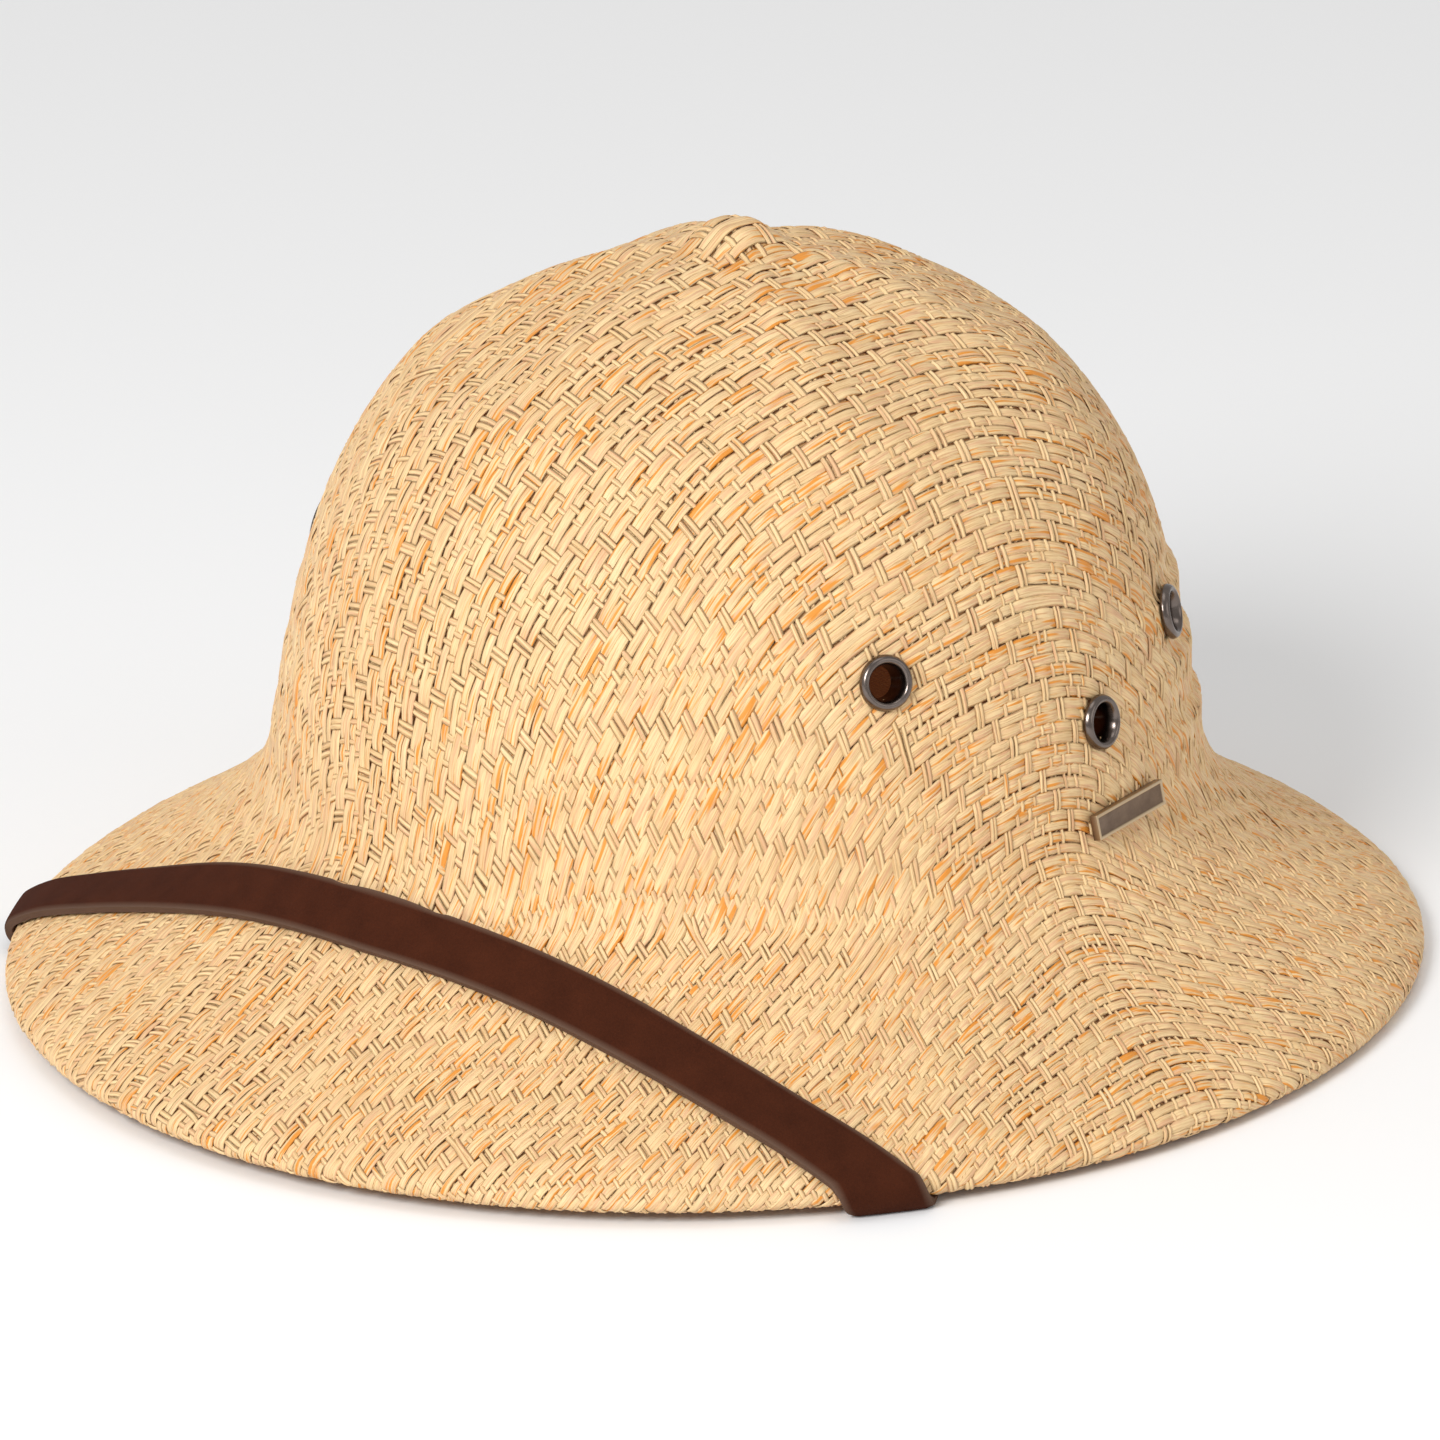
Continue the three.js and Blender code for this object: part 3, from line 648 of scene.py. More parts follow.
def mixed(tree, first, second, amount):
    """A colour between two plain ones."""
    made = node(tree, "ShaderNodeMix", data_type="RGBA")
    made.inputs[6].default_value = (*first, 1)
    made.inputs[7].default_value = (*second, 1)
    tree.links.new(amount, made.inputs["Factor"])
    return made.outputs[2]


def bumped(tree, shader, height, strength, distance):
    """Let the light see a height that the mesh doesn't have."""
    bump = node(tree, "ShaderNodeBump", Strength=strength, Distance=distance)
    tree.links.new(height, bump.inputs["Height"])
    tree.links.new(bump.outputs["Normal"], shader.inputs["Normal"])


def solid_noise(tree, scale, detail, roughness=0.5):
    """Noise in the piece's own space."""
    place_of = node(tree, "ShaderNodeTexCoord")
    noise = node(tree, "ShaderNodeTexNoise", Scale=scale, Detail=detail, Roughness=roughness)
    tree.links.new(place_of.outputs["Object"], noise.inputs["Vector"])
    return noise.outputs["Fac"]


def fibre_noise(tree, own, along_scale, across_scale, start, detail):
    """Noise stretched along a strand, in the strand's own coordinates."""
    scale = (along_scale, across_scale, 1)
    stretch = node(tree, "ShaderNodeMapping", Scale=scale, Location=(start, start, 0))
    noise = node(tree, "ShaderNodeTexNoise", Scale=1.0, Detail=detail, Roughness=0.6)
    tree.links.new(own.outputs["UV"], stretch.inputs["Vector"])
    tree.links.new(stretch.outputs["Vector"], noise.inputs["Vector"])
    return noise.outputs["Fac"]


# %% Straw on the strands
straw, tree, shader = new_material("straw_strands", Roughness=0.5, Specular_IOR_Level=0.4)
tint = node(tree, "ShaderNodeAttribute", attribute_name="tint")
warmth = node(tree, "ShaderNodeAttribute", attribute_name="warmth")
own = node(tree, "ShaderNodeUVMap", uv_map="grain")
fine = fibre_noise(tree, own, 0.12, 3.4, 0, 3)
pinkish = fibre_noise(tree, own, 0.08, 1.7, 31, 1)
golden = fibre_noise(tree, own, 0.075, 1.3, 67, 1)
richer = node(tree, "ShaderNodeMath", operation="ADD")
tree.links.new(golden, richer.inputs[0])
tree.links.new(warmth.outputs["Fac"], richer.inputs[1])
colour = tinted(tree, tint.outputs["Color"], BROWN, ramp(tree, fine, 0.47, 0.7, 0.75))
colour = tinted(tree, colour, PINK, ramp(tree, pinkish, 0.5, 0.65, 0.6))
colour = tinted(tree, colour, ORANGE, ramp(tree, richer.outputs[0], 0.59, 0.67, 0.95))
tree.links.new(colour, shader.inputs["Base Color"])
bumped(tree, shader, fine, 0.6, 0.0003)
print("straw has", len(tree.nodes), "nodes")

# %% [markdown]
# ## One family of strands
# A ribbon's section is a low trapezium, two edges that lie down and a flat back. A narrow strand's is a low
# triangle, and smooth shading makes both round. The corners are placed on the flat cloth first and only then
# on the form, so that a strand drapes and shears with the cloth. Where two neighbours float together they
# draw close; in the plain bands they spread. A strand can't sink into a hollow narrower than itself, so its
# back stays one thickness above the line of its feet. Small seeded wanderings keep it from looking machined.

# %% Weaving
# corners of a section: share of the half width, share of the thickness
FLAT_SECTION = ((-1.0, -0.03), (-0.58, 1.0), (0.58, 1.0), (1.0, -0.03))
ROUND_SECTION = ((-1.0, -0.03), (0.0, 1.0), (1.0, -0.03))
DRIFT, SWAY, UNEVEN = 0.14, 0.07, 0.18  # wandering sideways, up and down, and in width
LONG_WAVE, SHORT_WAVE = 6, 3  # crossings from one bend of it to the next
GRAIN_APART = 7.3  # neighbours lie this far apart in the fibre noise


def weave(numbers, stations, lengthwise, pitch, other_pitch, section, half_width, thickness, together, seed):
    """Points, existing stations and fibre coordinates of one family. Ribbons run lengthwise."""
    shape = (len(numbers), len(stations))
    number = np.broadcast_to(numbers[:, None], shape)
    station = np.broadcast_to(stations[None, :], shape)
    before, after = np.floor(station), np.ceil(station)
    if lengthwise:
        over = (ribbon_on_top(number, before) + ribbon_on_top(number, after)) / 2
        plain = band_at(number, np.round(station)) == PLAIN
    else:
        over = 1 - (ribbon_on_top(before, number) + ribbon_on_top(after, number)) / 2
        plain = band_at(np.round(station), number) == PLAIN
    spread = together + (1 - together) * eased(plain.astype(float))
    side = number % 2 - 0.5
    drift = DRIFT * wander(len(numbers), stations, LONG_WAVE, seed)
    middle = number - side + side * spread + drift
    sway = SWAY * wander(len(numbers), stations, SHORT_WAVE, seed + 1)
    broad = 1 + UNEVEN * wander(len(numbers), stations, LONG_WAVE, seed + 2)
    heights = WEAVE_LEVEL + WEAVE_SWING * (2 * over - 1) + sway
    spine = station * other_pitch
    flat = (middle * pitch, spine) if lengthwise else (spine, middle * pitch)
    broad = broad * closing(*flat) * half_width
    corners, grains = [], []
    for aside, rise in section if lengthwise else section[::-1]:
        across = middle * pitch + aside * broad
        azimuth, place, _ = from_cloth(across, spine) if lengthwise else from_cloth(spine, across)
        corners.append(on_form(azimuth, place, heights + rise * thickness))
        grains.append(np.stack([spine, number * GRAIN_APART + aside * half_width], -1))
    corners = np.stack(corners, 2)
    azimuth, place, beyond = from_cloth(*flat)
    normal = look_up(NORMALS, azimuth, place)
    for k in range(1, len(section) - 1):
        chord = corners[:, :, 0] + (corners[:, :, -1] - corners[:, :, 0]) * (1 + section[k][0]) / 2
        short = ((chord - corners[:, :, k]) * normal).sum(-1) + thickness * MM
        corners[:, :, k] += normal * np.maximum(short, 0)[..., None]
    corners[..., 2] = np.maximum(corners[..., 2], FLOOR_GAP * MM)
    keep = (beyond < 0) & clear_of_eyelets(corners.mean(2))
    return corners, keep, np.stack(grains, 2)


def groups(name, count, corners, keep, grains, tints, warmth):
    """One family as several meshes of about the same size."""
    share = np.cumsum(keep.sum(1)) / keep.sum()
    for k in range(count):
        part = (share > k / count) & (share <= (k + 1) / count)
        piece_name = f"{name}_{k + 1}"
        tubes(piece_name, corners[part], keep[part], tints[part], warmth[part], grains[part], straw)


# %% [markdown]
# ## Ribbons
# The ribbons take up most of the surface. They are the more mottled of the two: cream to tan from one to the
# next, with orange lengths here and there.

# %% Ribbons
RIBBON_HALF = 1.19
RIBBON_THICKNESS = 0.2
RIBBON_TOGETHER = 0.93
RIBBONS_A_SIDE, STRANDS_A_SIDE = 112, 106  # they reach past the hem on all sides
ribbon_numbers = np.arange(-RIBBONS_A_SIDE, RIBBONS_A_SIDE)
ribbon_stations = np.arange(-2 * STRANDS_A_SIDE, 2 * STRANDS_A_SIDE + 1) / 2  # two to a crossing

woven = weave(ribbon_numbers, ribbon_stations, True, RIBBON_PITCH, STRAND_PITCH, FLAT_SECTION,
              RIBBON_HALF, RIBBON_THICKNESS, RIBBON_TOGETHER, 11)
count = len(ribbon_numbers)
own_tone = rng.uniform(0, 1, (count, 1))
mix = np.clip(0.3 + 0.25 * wander(count, ribbon_stations, 5, 14) + 0.4 * (own_tone - 0.5), 0, 1)[..., None]
tints = (CREAM * (1 - mix) + TAN * mix) * (1 + 0.06 * wander(count, ribbon_stations, 2, 17))[..., None]
warmth = 0.1 * wander(count, ribbon_stations, 7, 15) + 0.05 * (own_tone - 0.5)
groups("ribbons", 3, *woven, tints, warmth)

# %% [markdown]
# ## Pairs
# The narrow strands are paler and more even than the ribbons, and two of them side by side are a little
# wider than one ribbon. They are made by the same functions, with the other section and their own sizes.

# %% Pairs
STRAND_HALF = 0.7
STRAND_THICKNESS = 0.29
STRAND_TOGETHER = 0.57
strand_numbers = np.arange(-STRANDS_A_SIDE, STRANDS_A_SIDE)
strand_stations = np.arange(-2 * RIBBONS_A_SIDE, 2 * RIBBONS_A_SIDE + 1) / 2

woven = weave(strand_numbers, strand_stations, False, STRAND_PITCH, RIBBON_PITCH, ROUND_SECTION,
              STRAND_HALF, STRAND_THICKNESS, STRAND_TOGETHER, 21)
count = len(strand_numbers)
own_tone = rng.uniform(0, 1, (count, 1))
mix = np.clip(0.1 + 0.25 * wander(count, strand_stations, 6, 24) + 0.3 * own_tone, 0, 1)[..., None]
tints = CREAM * (1 - mix) + TAN * mix
warmth = 0.06 * wander(count, strand_stations, 6, 25) - 0.1
groups("pairs", 3, *woven, tints, warmth)

# %% [markdown]
# ## The wall under the strands
# Between the strands the eye meets the wall that carries them, and from below it meets the inside. A
# Solidify modifier would give it one thickness, but the hem is thicker than the rest. So the wall starts
# as a flat grid, like the flat sheet that the hatter starts with. Its rows are moved down the outside of
# the form, round the hem and back up the inside, and the seam and the two poles are then merged.

# %% Wall
WALL_COLUMNS = 200
SINK = 0.72  # the wall's outside lies this far under the CAD skin, below the strands
FOLD_SINK = 1.35  # and this far along the folds, where the skin is steep
FOLDS_FROM, FOLDS_TO = FOLD_LINES[0] - 2 * FOLD_LIP, 0.96
OUTSIDE_ROWS = np.concatenate([
    np.linspace(0, FOLDS_FROM, 56, endpoint=False),
    np.linspace(FOLDS_FROM, 1, 62),
    np.linspace(1, 2, 34)[1:],
    np.linspace(2, 3, 10)[1:],
])
INSIDE_FROM = 1.96  # the inside starts a little in from the edge, where the hem has turned
INSIDE_ROWS = np.linspace(INSIDE_FROM, 0, 56)
MERGE = 0.01 * MM  # points closer than this become one


def inside_depth(azimuth, place):
    from_edge = (2 - place) * length_at(brim_length, azimuth)
    deep = WALL + (HEM_THICKNESS - WALL) * (1 - smoothstep(from_edge, HEM_TURN, HEM_TURN + HEM_EASE))
    return np.where(place <= 1, WALL, deep)


def weave_uv(azimuth, distance):
    return np.stack(to_cloth(distance * np.sin(azimuth), distance * np.cos(azimuth)), -1)


column = np.linspace(0, 2 * math.pi, WALL_COLUMNS + 1)
outside_at, outside_place = np.meshgrid(column, OUTSIDE_ROWS)
in_folds = smoothstep(outside_place, FOLDS_FROM - FOLD_LIP, FOLDS_FROM)
in_folds *= 1 - smoothstep(outside_place, FOLDS_TO, 1)
outside = on_form(outside_at, outside_place, -SINK - (FOLD_SINK - SINK) * in_folds)
outside[0] = outside[0].mean(0)
inside_at, inside_place = np.meshgrid(column, INSIDE_ROWS)
inside = on_form(inside_at, inside_place, -inside_depth(inside_at, inside_place))
inside[-1] = inside[-1].mean(0)
wall_points = np.concatenate([outside, inside])


def way_down(azimuth, place):
    crown, brim = length_at(crown_length, azimuth), length_at(brim_length, azimuth)
    return np.minimum(place, 1) * crown + np.clip(place - 1, 0, 1) * brim + np.maximum(place - 2, 0) * HEM_ARC


def moved_grid(name, points):
    """A flat grid whose vertices are moved to points[row, column]."""
    bpy.ops.object.select_all(action="DESELECT")
    rows, columns = points.shape[:2]
    bpy.ops.mesh.primitive_grid_add(x_subdivisions=columns - 1, y_subdivisions=rows - 1, size=1)
    piece = bpy.context.object
    piece.name = name
    fill(piece.data.vertices, "co", points)
    return piece


wall_uv = np.concatenate([
    weave_uv(outside_at, way_down(outside_at, outside_place)),
    weave_uv(inside_at, way_down(inside_at, inside_place)),
])
wall = moved_grid("helmet_wall", wall_points)
loops = np.empty(len(wall.data.loops), np.int32)
wall.data.loops.foreach_get("vertex_index", loops)
wall.data.uv_layers[0].name = "grain"
fill(wall.data.uv_layers[0].data, "uv", wall_uv.reshape(-1, 2)[loops])
bpy.ops.object.mode_set(mode="EDIT")
bpy.ops.mesh.select_all(action="SELECT")
bpy.ops.mesh.remove_doubles(threshold=MERGE)
bpy.ops.mesh.normals_make_consistent(inside=False)
bpy.ops.object.mode_set(mode="OBJECT")
bpy.ops.object.shade_smooth()
print("wall", len(wall.data.polygons), "faces")

# %% [markdown]
# The vents are punched through the straw before the eyelets are set. Cutting each hole in the grid by hand
# would disturb its rows, so they are drilled with one boolean: six short cylinders, joined, are taken out.

# %% Vent holes
BORE_RADIUS = 4.2  # a little wider than the eyelet's barrel
BORE_LENGTH = 20


def along_axis(centre, axis):
    """A matrix that stands a piece made along Z on a seat."""
    turned = Vector(axis).to_track_quat("Z", "Y").to_matrix().to_4x4()
    return Matrix.Translation(Vector(centre)) @ turned


drills = []
for centre, axis, _, _ in seats.values():
    bpy.ops.mesh.primitive_cylinder_add(vertices=32, radius=BORE_RADIUS * MM, depth=BORE_LENGTH * MM)
    drill = bpy.context.object
    drill.data.transform(along_axis(centre, axis))
    drills.append(drill)
bpy.ops.object.select_all(action="DESELECT")
for drill in drills:
    drill.select_set(True)
bpy.context.view_layer.objects.active = drills[0]
bpy.ops.object.join()
drill = drills[0]
bpy.ops.object.select_all(action="DESELECT")
wall.select_set(True)
bpy.context.view_layer.objects.active = wall
cut = wall.modifiers.new("vents", "BOOLEAN")
cut.operation = "DIFFERENCE"
cut.object = drill
cut.solver = "EXACT"
bpy.ops.object.modifier_apply(modifier=cut.name)
bpy.data.objects.remove(drill)
print("wall after drilling", len(wall.data.polygons), "faces")

# %% [markdown]
# The wall is seen only in the gaps and from below, so its weave is painted and bumped by the shader, from
# the same cloth coordinates. It is painted darker than the strands, as painted shade for the gaps. Thin
# straw lets some light through: a faint warm emission stands for that, because a real pass of light
# through every strand would take too long to render.

# %% Wall material
GLOW = (*srgb(160, 100, 66), 1)
inner_straw, tree, shader = new_material(
    "straw_wall", Roughness=0.7, Emission_Color=GLOW, Emission_Strength=0.09)
link = tree.links.new
own = node(tree, "ShaderNodeUVMap", uv_map="grain")
across = node(tree, "ShaderNodeMapping", Scale=(1 / RIBBON_PITCH, 1 / STRAND_PITCH, 1))
checks = node(tree, "ShaderNodeTexChecker", Scale=1.0)
waves_x = node(tree, "ShaderNodeTexWave", bands_direction="X", Scale=math.pi / 10)
waves_y = node(tree, "ShaderNodeTexWave", bands_direction="Y", Scale=math.pi / 10 * 2)
pick = node(tree, "ShaderNodeMix", data_type="FLOAT")
link(own.outputs["UV"], across.inputs["Vector"])
for pattern in (checks, waves_x, waves_y):
    link(across.outputs["Vector"], pattern.inputs["Vector"])
link(checks.outputs["Fac"], pick.inputs["Factor"])
link(waves_x.outputs["Fac"], pick.inputs[2])
link(waves_y.outputs["Fac"], pick.inputs[3])
# painted shade: these two weave colours are darker than the strands and stand for the shade in the gaps
weave_colour_with_painted_shade = mixed(tree, srgb(186, 132, 78), srgb(214, 172, 114), pick.outputs[0])
link(weave_colour_with_painted_shade, shader.inputs["Base Color"])
bumped(tree, shader, pick.outputs[0], 0.8, 0.0004)
wall.data.materials.clear()
wall.data.materials.append(inner_straw)
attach(wall, "root")
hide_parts("helmet_shell")

# %% [markdown]
# ## The chin strap
# The strap is one flat length of suede. It lies over the brim in a bow, wraps round the hem on both sides,
# and runs on under the brim to a rivet inside the crown. A curve with a bevel would twist where it wraps the
# hem, so the strap is a grid too, whose vertices are moved to their places on the way.

# %% Way of the strap
STRAP_WIDTH = 13
STRAP_BOW = 2.3
STRAP_TO_CREASE = 6
STRAP_ANCHOR = math.radians(79)
STRAP_ANCHOR_RISE = 17
STRAP_END = 7
STRAP_BEND, STRAP_SLACK = 3, 18  # the leather is bent tight round the hem, then eases off it
STRAP_EASE = 2
FACET_DEPTH = 0.162  # a flat facet of the CAD shell lies this far inside the curve
STRAP_COLUMNS = 10
BOW_STATIONS, WRAP_STATIONS, RUN_STATIONS, END_STATIONS = 60, 32, 60, 4
WRAP_SHARE = 0.24  # share of the way under the brim that the wrap's stations take


def strap_half():
    bow_depth = brim_length[0] - STRAP_TO_CREASE
    turn = STRAP_ANCHOR - STRAP_CROSSING
    steepness = STRAP_BOW * bow_depth / STRAP_CROSSING
    total = HEM_ARC + length_at(brim_length, STRAP_ANCHOR) + STRAP_ANCHOR_RISE
    bend = (total - steepness * turn) / turn**2
    share = np.linspace(0, 1, BOW_STATIONS)
    bow = np.stack([STRAP_CROSSING * share, -bow_depth * (1 - share**STRAP_BOW)], 1)
    wrap = np.linspace(0, WRAP_SHARE, WRAP_STATIONS + 1)[1:]
    past = turn * np.concatenate([wrap, np.linspace(WRAP_SHARE, 1, RUN_STATIONS + 1)[1:]])
    under = np.stack([STRAP_CROSSING + past, steepness * past + bend * past**2], 1)
    end = [[STRAP_ANCHOR, total + STRAP_END * (k + 1) / END_STATIONS] for k in range(END_STATIONS)]
    return np.concatenate([bow, under, end])


def on_strap_way(azimuth, across, lift):
    """Points by azimuth and by millimetres past the start of the hem, below 0 on top of the brim."""
    crown, brim = length_at(crown_length, azimuth), length_at(brim_length, azimuth)
    inward = across - HEM_ARC
    above = on_form(azimuth, 2 + np.minimum(across, 0) / brim, lift)
    round_hem = on_form(azimuth, 2 + np.clip(across / HEM_ARC, 0, 1), lift)
    depth = lift + 2 * FACET_DEPTH * smoothstep(inward, 0, HEM_TURN)
    under_place = 2 - np.clip(inward / brim, 0, 1)
    from_edge = (2 - under_place) * brim
    past_strip = smoothstep(from_edge, HEM_TURN + STRAP_EASE, HEM_TURN + STRAP_SLACK)
    thick = WALL + (HEM_THICKNESS - WALL) * (1 - past_strip)
    under = on_form(azimuth, under_place, -thick - depth)
    inside = on_form(azimuth, 1 - np.maximum(inward - brim, 0) / crown, -WALL - depth)
    points = np.where((across <= 0)[..., None], above, round_hem)
    points = np.where((inward > 0)[..., None], under, points)
    return np.where((inward > brim)[..., None], inside, points)


half = strap_half()
mirrored = half[:0:-1] * [-1, 1]
stations = np.concatenate([mirrored, half])
ahead = np.concatenate([stations[1:], stations[-1:]])
behind = np.concatenate([stations[:1], stations[:-1]])
centre_line = on_strap_way(stations[:, 0], stations[:, 1], np.zeros(len(stations))) / MM
reach = np.hypot(centre_line[:, 0], centre_line[:, 1] - CROWN_SET_BACK)
way_x = (ahead[:, 0] - behind[:, 0]) * reach
way_y = ahead[:, 1] - behind[:, 1]
scale = np.hypot(way_x, way_y)
way_x, way_y = way_x / scale, way_y / scale
from_hem = np.abs(stations[:, 1] - HEM_ARC / 2) - HEM_ARC / 2
bent = 1 - smoothstep(from_hem, STRAP_BEND, STRAP_SLACK)
lean = np.where(bent > 0, -bent * way_x / np.where(np.abs(way_y) < 1e-6, 1, way_y), 0)
sideways = np.linspace(-0.5, 0.5, STRAP_COLUMNS + 1)[None, :] * STRAP_WIDTH
at_azimuth = stations[:, :1] + sideways * (lean * way_x - way_y)[:, None] / reach[:, None]
at_across = stations[:, 1:] + sideways * (lean * way_y + way_x)[:, None]


def strap_layer(lift):
    return on_strap_way(at_azimuth, at_across, np.full(at_azimuth.shape, lift))


# %% [markdown]
# Leather for a strap is cut with a blade, so its edges are square and only a little rounded. The upper and
# the lower face come from the same way at two heights, with the cut edges drawn in a little. The ends are
# left open by the grid, so their rims are selected and filled.

# %% Strap mesh
STRAP_EDGE = 0.5
rim = np.array([1.0] + [0.0] * (STRAP_COLUMNS - 1) + [1.0])
upper = strap_layer(CLEARANCE + STRAP_THICKNESS)
lower = strap_layer(CLEARANCE)
crown_of = upper + (lower - upper) * (rim * STRAP_EDGE / STRAP_THICKNESS)[None, :, None]
foot_of = lower + (upper - lower) * (rim * STRAP_EDGE / STRAP_THICKNESS)[None, :, None]
ring = np.concatenate([crown_of, foot_of[:, ::-1], crown_of[:, :1]], axis=1)
strap = moved_grid("chin_strap_suede", ring)
strap_steps = np.linalg.norm(np.diff(centre_line, axis=0), axis=1)
print("strap, whole length in mm:", round(float(strap_steps.sum())))
edge_of = np.zeros(ring.shape[:2])
edge_of[:, STRAP_COLUMNS: STRAP_COLUMNS + 2] = 1
edge_of[:, [0, -1, -2]] = 1
cut_edge = strap.data.attributes.new("cut_edge", "FLOAT", "POINT")
fill(cut_edge.data, "value", edge_of)
bpy.ops.object.mode_set(mode="EDIT")
bpy.ops.mesh.select_all(action="SELECT")
bpy.ops.mesh.remove_doubles(threshold=MERGE)
bpy.ops.mesh.select_all(action="DESELECT")
bpy.ops.mesh.select_mode(type="EDGE")
bpy.ops.mesh.select_non_manifold()
bpy.ops.mesh.edge_face_add()
bpy.ops.mesh.select_all(action="SELECT")
bpy.ops.mesh.normals_make_consistent(inside=False)
bpy.ops.object.mode_set(mode="OBJECT")
bpy.ops.object.shade_smooth_by_angle(angle=math.radians(50))
print("strap", len(strap.data.polygons), "faces")

# %% [markdown]
# Suede is matt, with a fine nap that catches light at a low angle, and a paler fibrous edge where it was
# cut.

# %% Suede
SHEEN = (*srgb(150, 76, 50), 1)
suede, tree, shader = new_material(
    "brown_suede", Roughness=0.95, Specular_IOR_Level=0.1,
    Sheen_Weight=0.04, Sheen_Tint=SHEEN, Sheen_Roughness=0.5)
link = tree.links.new
nap = solid_noise(tree, 1900, 3, 0.8)
patches = solid_noise(tree, 160, 2)
half_nap = node(tree, "ShaderNodeMath", operation="MULTIPLY")
half_nap.inputs[1].default_value = 0.55
both = node(tree, "ShaderNodeMath", operation="MULTIPLY_ADD")
both.inputs[1].default_value = 0.45
link(nap, half_nap.inputs[0])
link(patches, both.inputs[0])
link(half_nap.outputs[0], both.inputs[2])
mottled = mixed(tree, srgb(36, 14, 6), srgb(84, 41, 23), both.outputs[0])
edge_at = node(tree, "ShaderNodeAttribute", attribute_name="cut_edge")
paler = tinted(tree, mottled, srgb(98, 76, 63), edge_at.outputs["Fac"])
link(paler, shader.inputs["Base Color"])
bumped(tree, shader, nap, 0.7, 0.0004)
strap.data.materials.clear()
strap.data.materials.append(suede)
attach(strap, "root")
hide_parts("chin_strap")

# %% [markdown]
# ## Vent eyelets
# An eyelet is pressed from sheet metal: a domed flange outside that curls into a flared mouth, a barrel
# through the straw, and a flange spread flat inside. Every part of it is round about one axis, so its
# outline is drawn once and spun. The plating is dark and polished, a little cloudy from handling. The two
# rivets inside the crown keep their CAD shape and get the same plating.

# %% Eyelets
FLANGE_RADIUS, MOUTH_RADIUS, BORE, BARREL_RADIUS = 5.8, 3.9, 3.4, 4.0
BACK_RADIUS, BACK_THICKNESS, RISE = 5.3, 0.9, 1.7
BACK_ROUND, FLANGE_ROUND = 0.15, 0.1
FLARE, FLARE_DEPTH = 0.3, 1.0
SPIN_STEPS = 64
# the domed flange from its rim to its mouth: share of its width, share of its rise
DOME = ((0.0, 0.12), (0.03, 0.35), (0.1, 0.58), (0.22, 0.8), (0.38, 0.94), (0.58, 1.0), (0.76, 0.94),
        (0.9, 0.78), (1.0, 0.52))


def eyelet_outline(top, under):
    """Radius and height down the eyelet's outline, from its bore inside to its mouth."""
    back = under - BACK_THICKNESS
    rows = [(BORE, back), (BACK_RADIUS - BACK_ROUND, back), (BACK_RADIUS, back + BACK_ROUND)]
    rows += [(BACK_RADIUS, under), (BARREL_RADIUS, under)]
    rows += [(BARREL_RADIUS, top), (FLANGE_RADIUS - FLANGE_ROUND, top)]
    width = FLANGE_RADIUS - MOUTH_RADIUS
    rows += [(FLANGE_RADIUS - width * inset, top + RISE * lift) for inset, lift in DOME]
    rows += [(MOUTH_RADIUS - FLARE, top + FLANGE_ROUND), (BORE, top - FLARE_DEPTH)]
    return rows


gunmetal, tree, shader = new_material("gunmetal", Metallic=1)
cloud = solid_noise(tree, 420, 4)
tree.links.new(ramp(tree, cloud, 0, 1, 0.34, 0.12), shader.inputs["Roughness"])
plating = mixed(tree, srgb(92, 83, 78), srgb(136, 124, 117), cloud)
tree.links.new(plating, shader.inputs["Base Color"])
bumped(tree, shader, cloud, 0.08, 0.0001)


def spun_eyelet(name, centre, axis, low, high):
    top, under = high / MM - RISE, low / MM + BACK_THICKNESS
    mesh = bpy.data.meshes.new(name)
    outline = eyelet_outline(top, under)
    count = len(outline)
    edges = [(k, (k + 1) % count) for k in range(count)]
    mesh.from_pydata([(r * MM, 0, h * MM) for r, h in outline], edges, [])
    piece = bpy.data.objects.new(name, mesh)
    bpy.context.scene.collection.objects.link(piece)
    bpy.ops.object.select_all(action="DESELECT")
    piece.select_set(True)
    bpy.context.view_layer.objects.active = piece
    bpy.ops.object.mode_set(mode="EDIT")
    bpy.ops.mesh.select_all(action="SELECT")
    bpy.ops.mesh.spin(steps=SPIN_STEPS, angle=2 * math.pi, center=(0, 0, 0), axis=(0, 0, 1))
    bpy.ops.mesh.select_all(action="SELECT")
    bpy.ops.mesh.remove_doubles(threshold=0.002 * MM)
    bpy.ops.mesh.normals_make_consistent(inside=False)
    bpy.ops.object.mode_set(mode="OBJECT")
    piece.data.transform(along_axis(centre, axis))
    bpy.ops.object.shade_smooth_by_angle(angle=math.radians(40))
    piece.data.materials.append(gunmetal)
    return piece


for name, seat in seats.items():
    piece = spun_eyelet(name + "_metal", *seat)
    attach(piece, "root")
    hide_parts(name)
for name in ("strap_rivet_left", "strap_rivet_right"):
    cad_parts[name].data.materials.clear()
    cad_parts[name].data.materials.append(gunmetal)

# %% [markdown]
# ## The brass bar
# The bar on the wearer's left is a small plate with two pins behind it: a thin raised rim round a sunk, bare
# field, and bevelled edges. A cube is inset twice for the rim and the field, then bevelled. It is set on the
# CAD bar's own face, which is the largest one that looks outward.

# %% Bar
BAR_LENGTH, BAR_HEIGHT, BAR_THICKNESS = 25.5, 5.3, 1.8
BAR_RIM, BAR_FIELD_DEPTH, BAR_SLOPE, BAR_BEVEL = 0.62, 0.3, 0.15, 0.16
PIN_SPACING, PIN_RADIUS = 17, 0.8
SAME_PLANE = 0.02

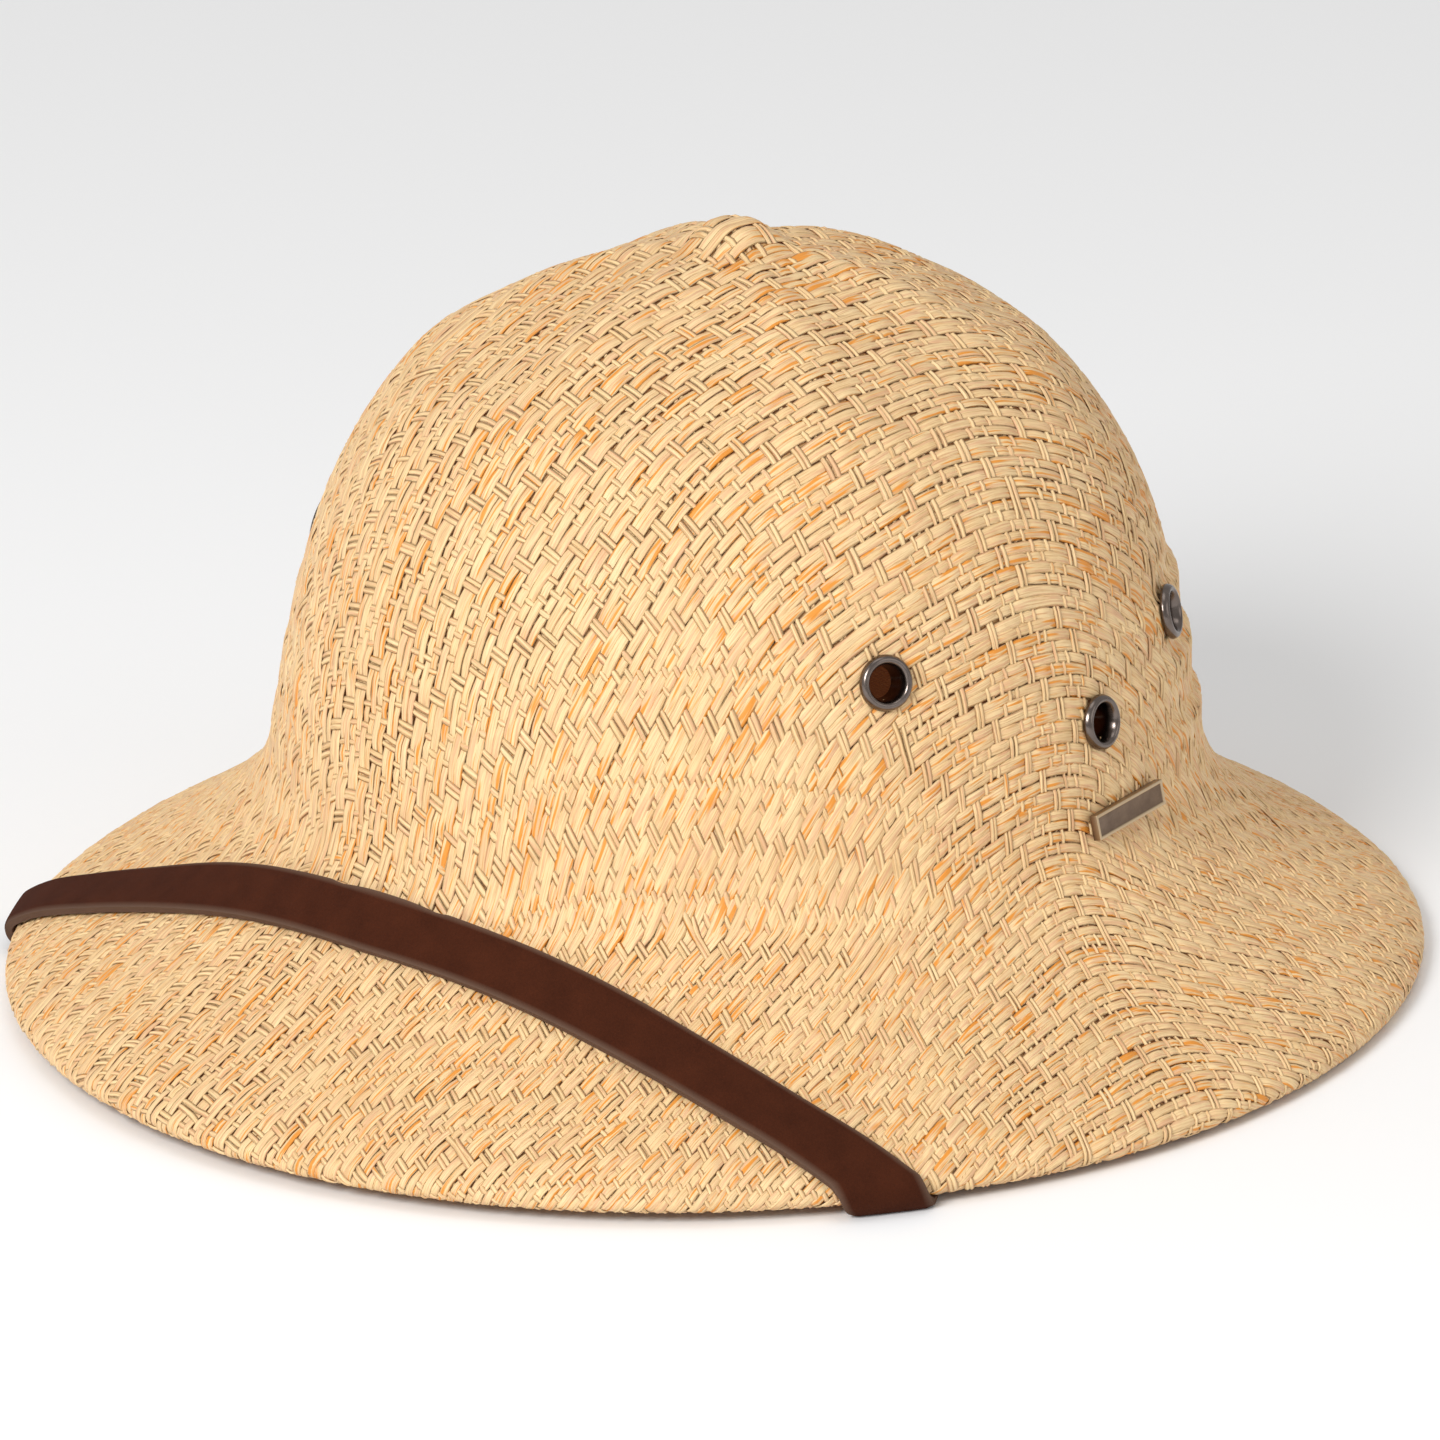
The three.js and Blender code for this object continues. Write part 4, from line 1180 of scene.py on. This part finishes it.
points = node_points("badge_bar")
outward = Vector(points.mean(0) - np.array([0, CROWN_SET_BACK * MM, points[:, 2].mean()]))
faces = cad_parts["badge_bar"].data.polygons
outer = [face for face in faces if face.normal.dot(outward) > 0.9 * outward.length]
largest = max(outer, key=lambda face: face.area)
normal_of = np.array(largest.normal)
height_of = (points - np.array(largest.center)) @ normal_of
on_face = points[np.abs(height_of) < SAME_PLANE * MM]
length_of = np.linalg.eigh(np.cov((on_face - on_face.mean(0)).T))[1][:, 2]
upward_of = np.cross(normal_of, length_of)
if upward_of[2] < 0:
    length_of, upward_of = -length_of, -upward_of
stand = Matrix((length_of, upward_of, normal_of)).transposed().to_4x4()
stand.translation = (on_face.max(0) + on_face.min(0)) / 2
pin_length = -height_of.min() / MM - BAR_THICKNESS / 2

bpy.ops.object.select_all(action="DESELECT")
bpy.ops.mesh.primitive_cube_add(size=1)
bar = bpy.context.object
bar.name = "badge_bar_brass"
bar.data.transform(Matrix.Diagonal((BAR_LENGTH * MM, BAR_HEIGHT * MM, BAR_THICKNESS * MM, 1)))
bar.data.transform(Matrix.Translation((0, 0, -BAR_THICKNESS / 2 * MM)))
bpy.ops.object.mode_set(mode="EDIT")
bpy.ops.mesh.select_mode(type="FACE")
bpy.ops.mesh.select_all(action="DESELECT")
bpy.ops.object.mode_set(mode="OBJECT")
for face in bar.data.polygons:
    face.select = face.normal.z > 0.5
bpy.ops.object.mode_set(mode="EDIT")
bpy.ops.mesh.inset(thickness=BAR_RIM * MM, depth=0)
bpy.ops.mesh.inset(thickness=BAR_SLOPE * MM, depth=-BAR_FIELD_DEPTH * MM)
bpy.ops.object.mode_set(mode="OBJECT")
bevel = bar.modifiers.new("edges", "BEVEL")
bevel.width = BAR_BEVEL * MM
bevel.segments = 3
bevel.angle_limit = math.radians(30)
bpy.ops.object.modifier_apply(modifier=bevel.name)
depth_of = np.array([vertex.co.z for vertex in bar.data.vertices]) / MM
rubbed = bar.data.attributes.new("rubbed", "FLOAT", "POINT")
fill(rubbed.data, "value", smoothstep(depth_of, -BAR_FIELD_DEPTH, 0))
for end in (-1, 1):
    middle = (end * PIN_SPACING / 2 * MM, 0, -(BAR_THICKNESS / 2 + pin_length / 2) * MM)
    bpy.ops.mesh.primitive_cylinder_add(vertices=24, radius=PIN_RADIUS * MM, depth=pin_length * MM)
    bpy.context.object.location = middle
    bpy.ops.object.transform_apply(location=True)
    bar.select_set(True)
    bpy.context.view_layer.objects.active = bar
    bpy.ops.object.join()
bar.data.transform(stand)
bpy.ops.object.shade_smooth_by_angle(angle=math.radians(40))
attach(bar, "root")
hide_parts("badge_bar")
print("bar", len(bar.data.polygons), "faces")

# %% [markdown]
# Old brass is brown in the low places and rubbed bright on the rim, and it is brushed along its length.

# %% Brass
brass, tree, shader = new_material("antique_brass", Metallic=1)
link = tree.links.new
stain = solid_noise(tree, 260, 5, 0.65)
place_of = node(tree, "ShaderNodeTexCoord")
brush = node(tree, "ShaderNodeMapping", Scale=(300, 300, 2600))
lines = node(tree, "ShaderNodeTexNoise", Scale=1.0, Detail=2.0)
link(place_of.outputs["Object"], brush.inputs["Vector"])
link(brush.outputs["Vector"], lines.inputs["Vector"])
rubbed_at = node(tree, "ShaderNodeAttribute", attribute_name="rubbed")
aged = mixed(tree, srgb(96, 78, 66), srgb(150, 126, 104), stain)
worn = tinted(tree, aged, srgb(208, 184, 150), rubbed_at.outputs["Fac"])
link(worn, shader.inputs["Base Color"])
link(ramp(tree, lines.outputs["Fac"], 0, 1, 0.55, 0.32), shader.inputs["Roughness"])
bumped(tree, shader, lines.outputs["Fac"], 0.2, 0.0001)
bar.data.materials.clear()
bar.data.materials.append(brass)

# %% [markdown]
# ## The end
# The dressed hat has to stay inside the CAD model's box, apart from the little that straw may stand proud.

# %% Finish
bpy.context.view_layer.update()
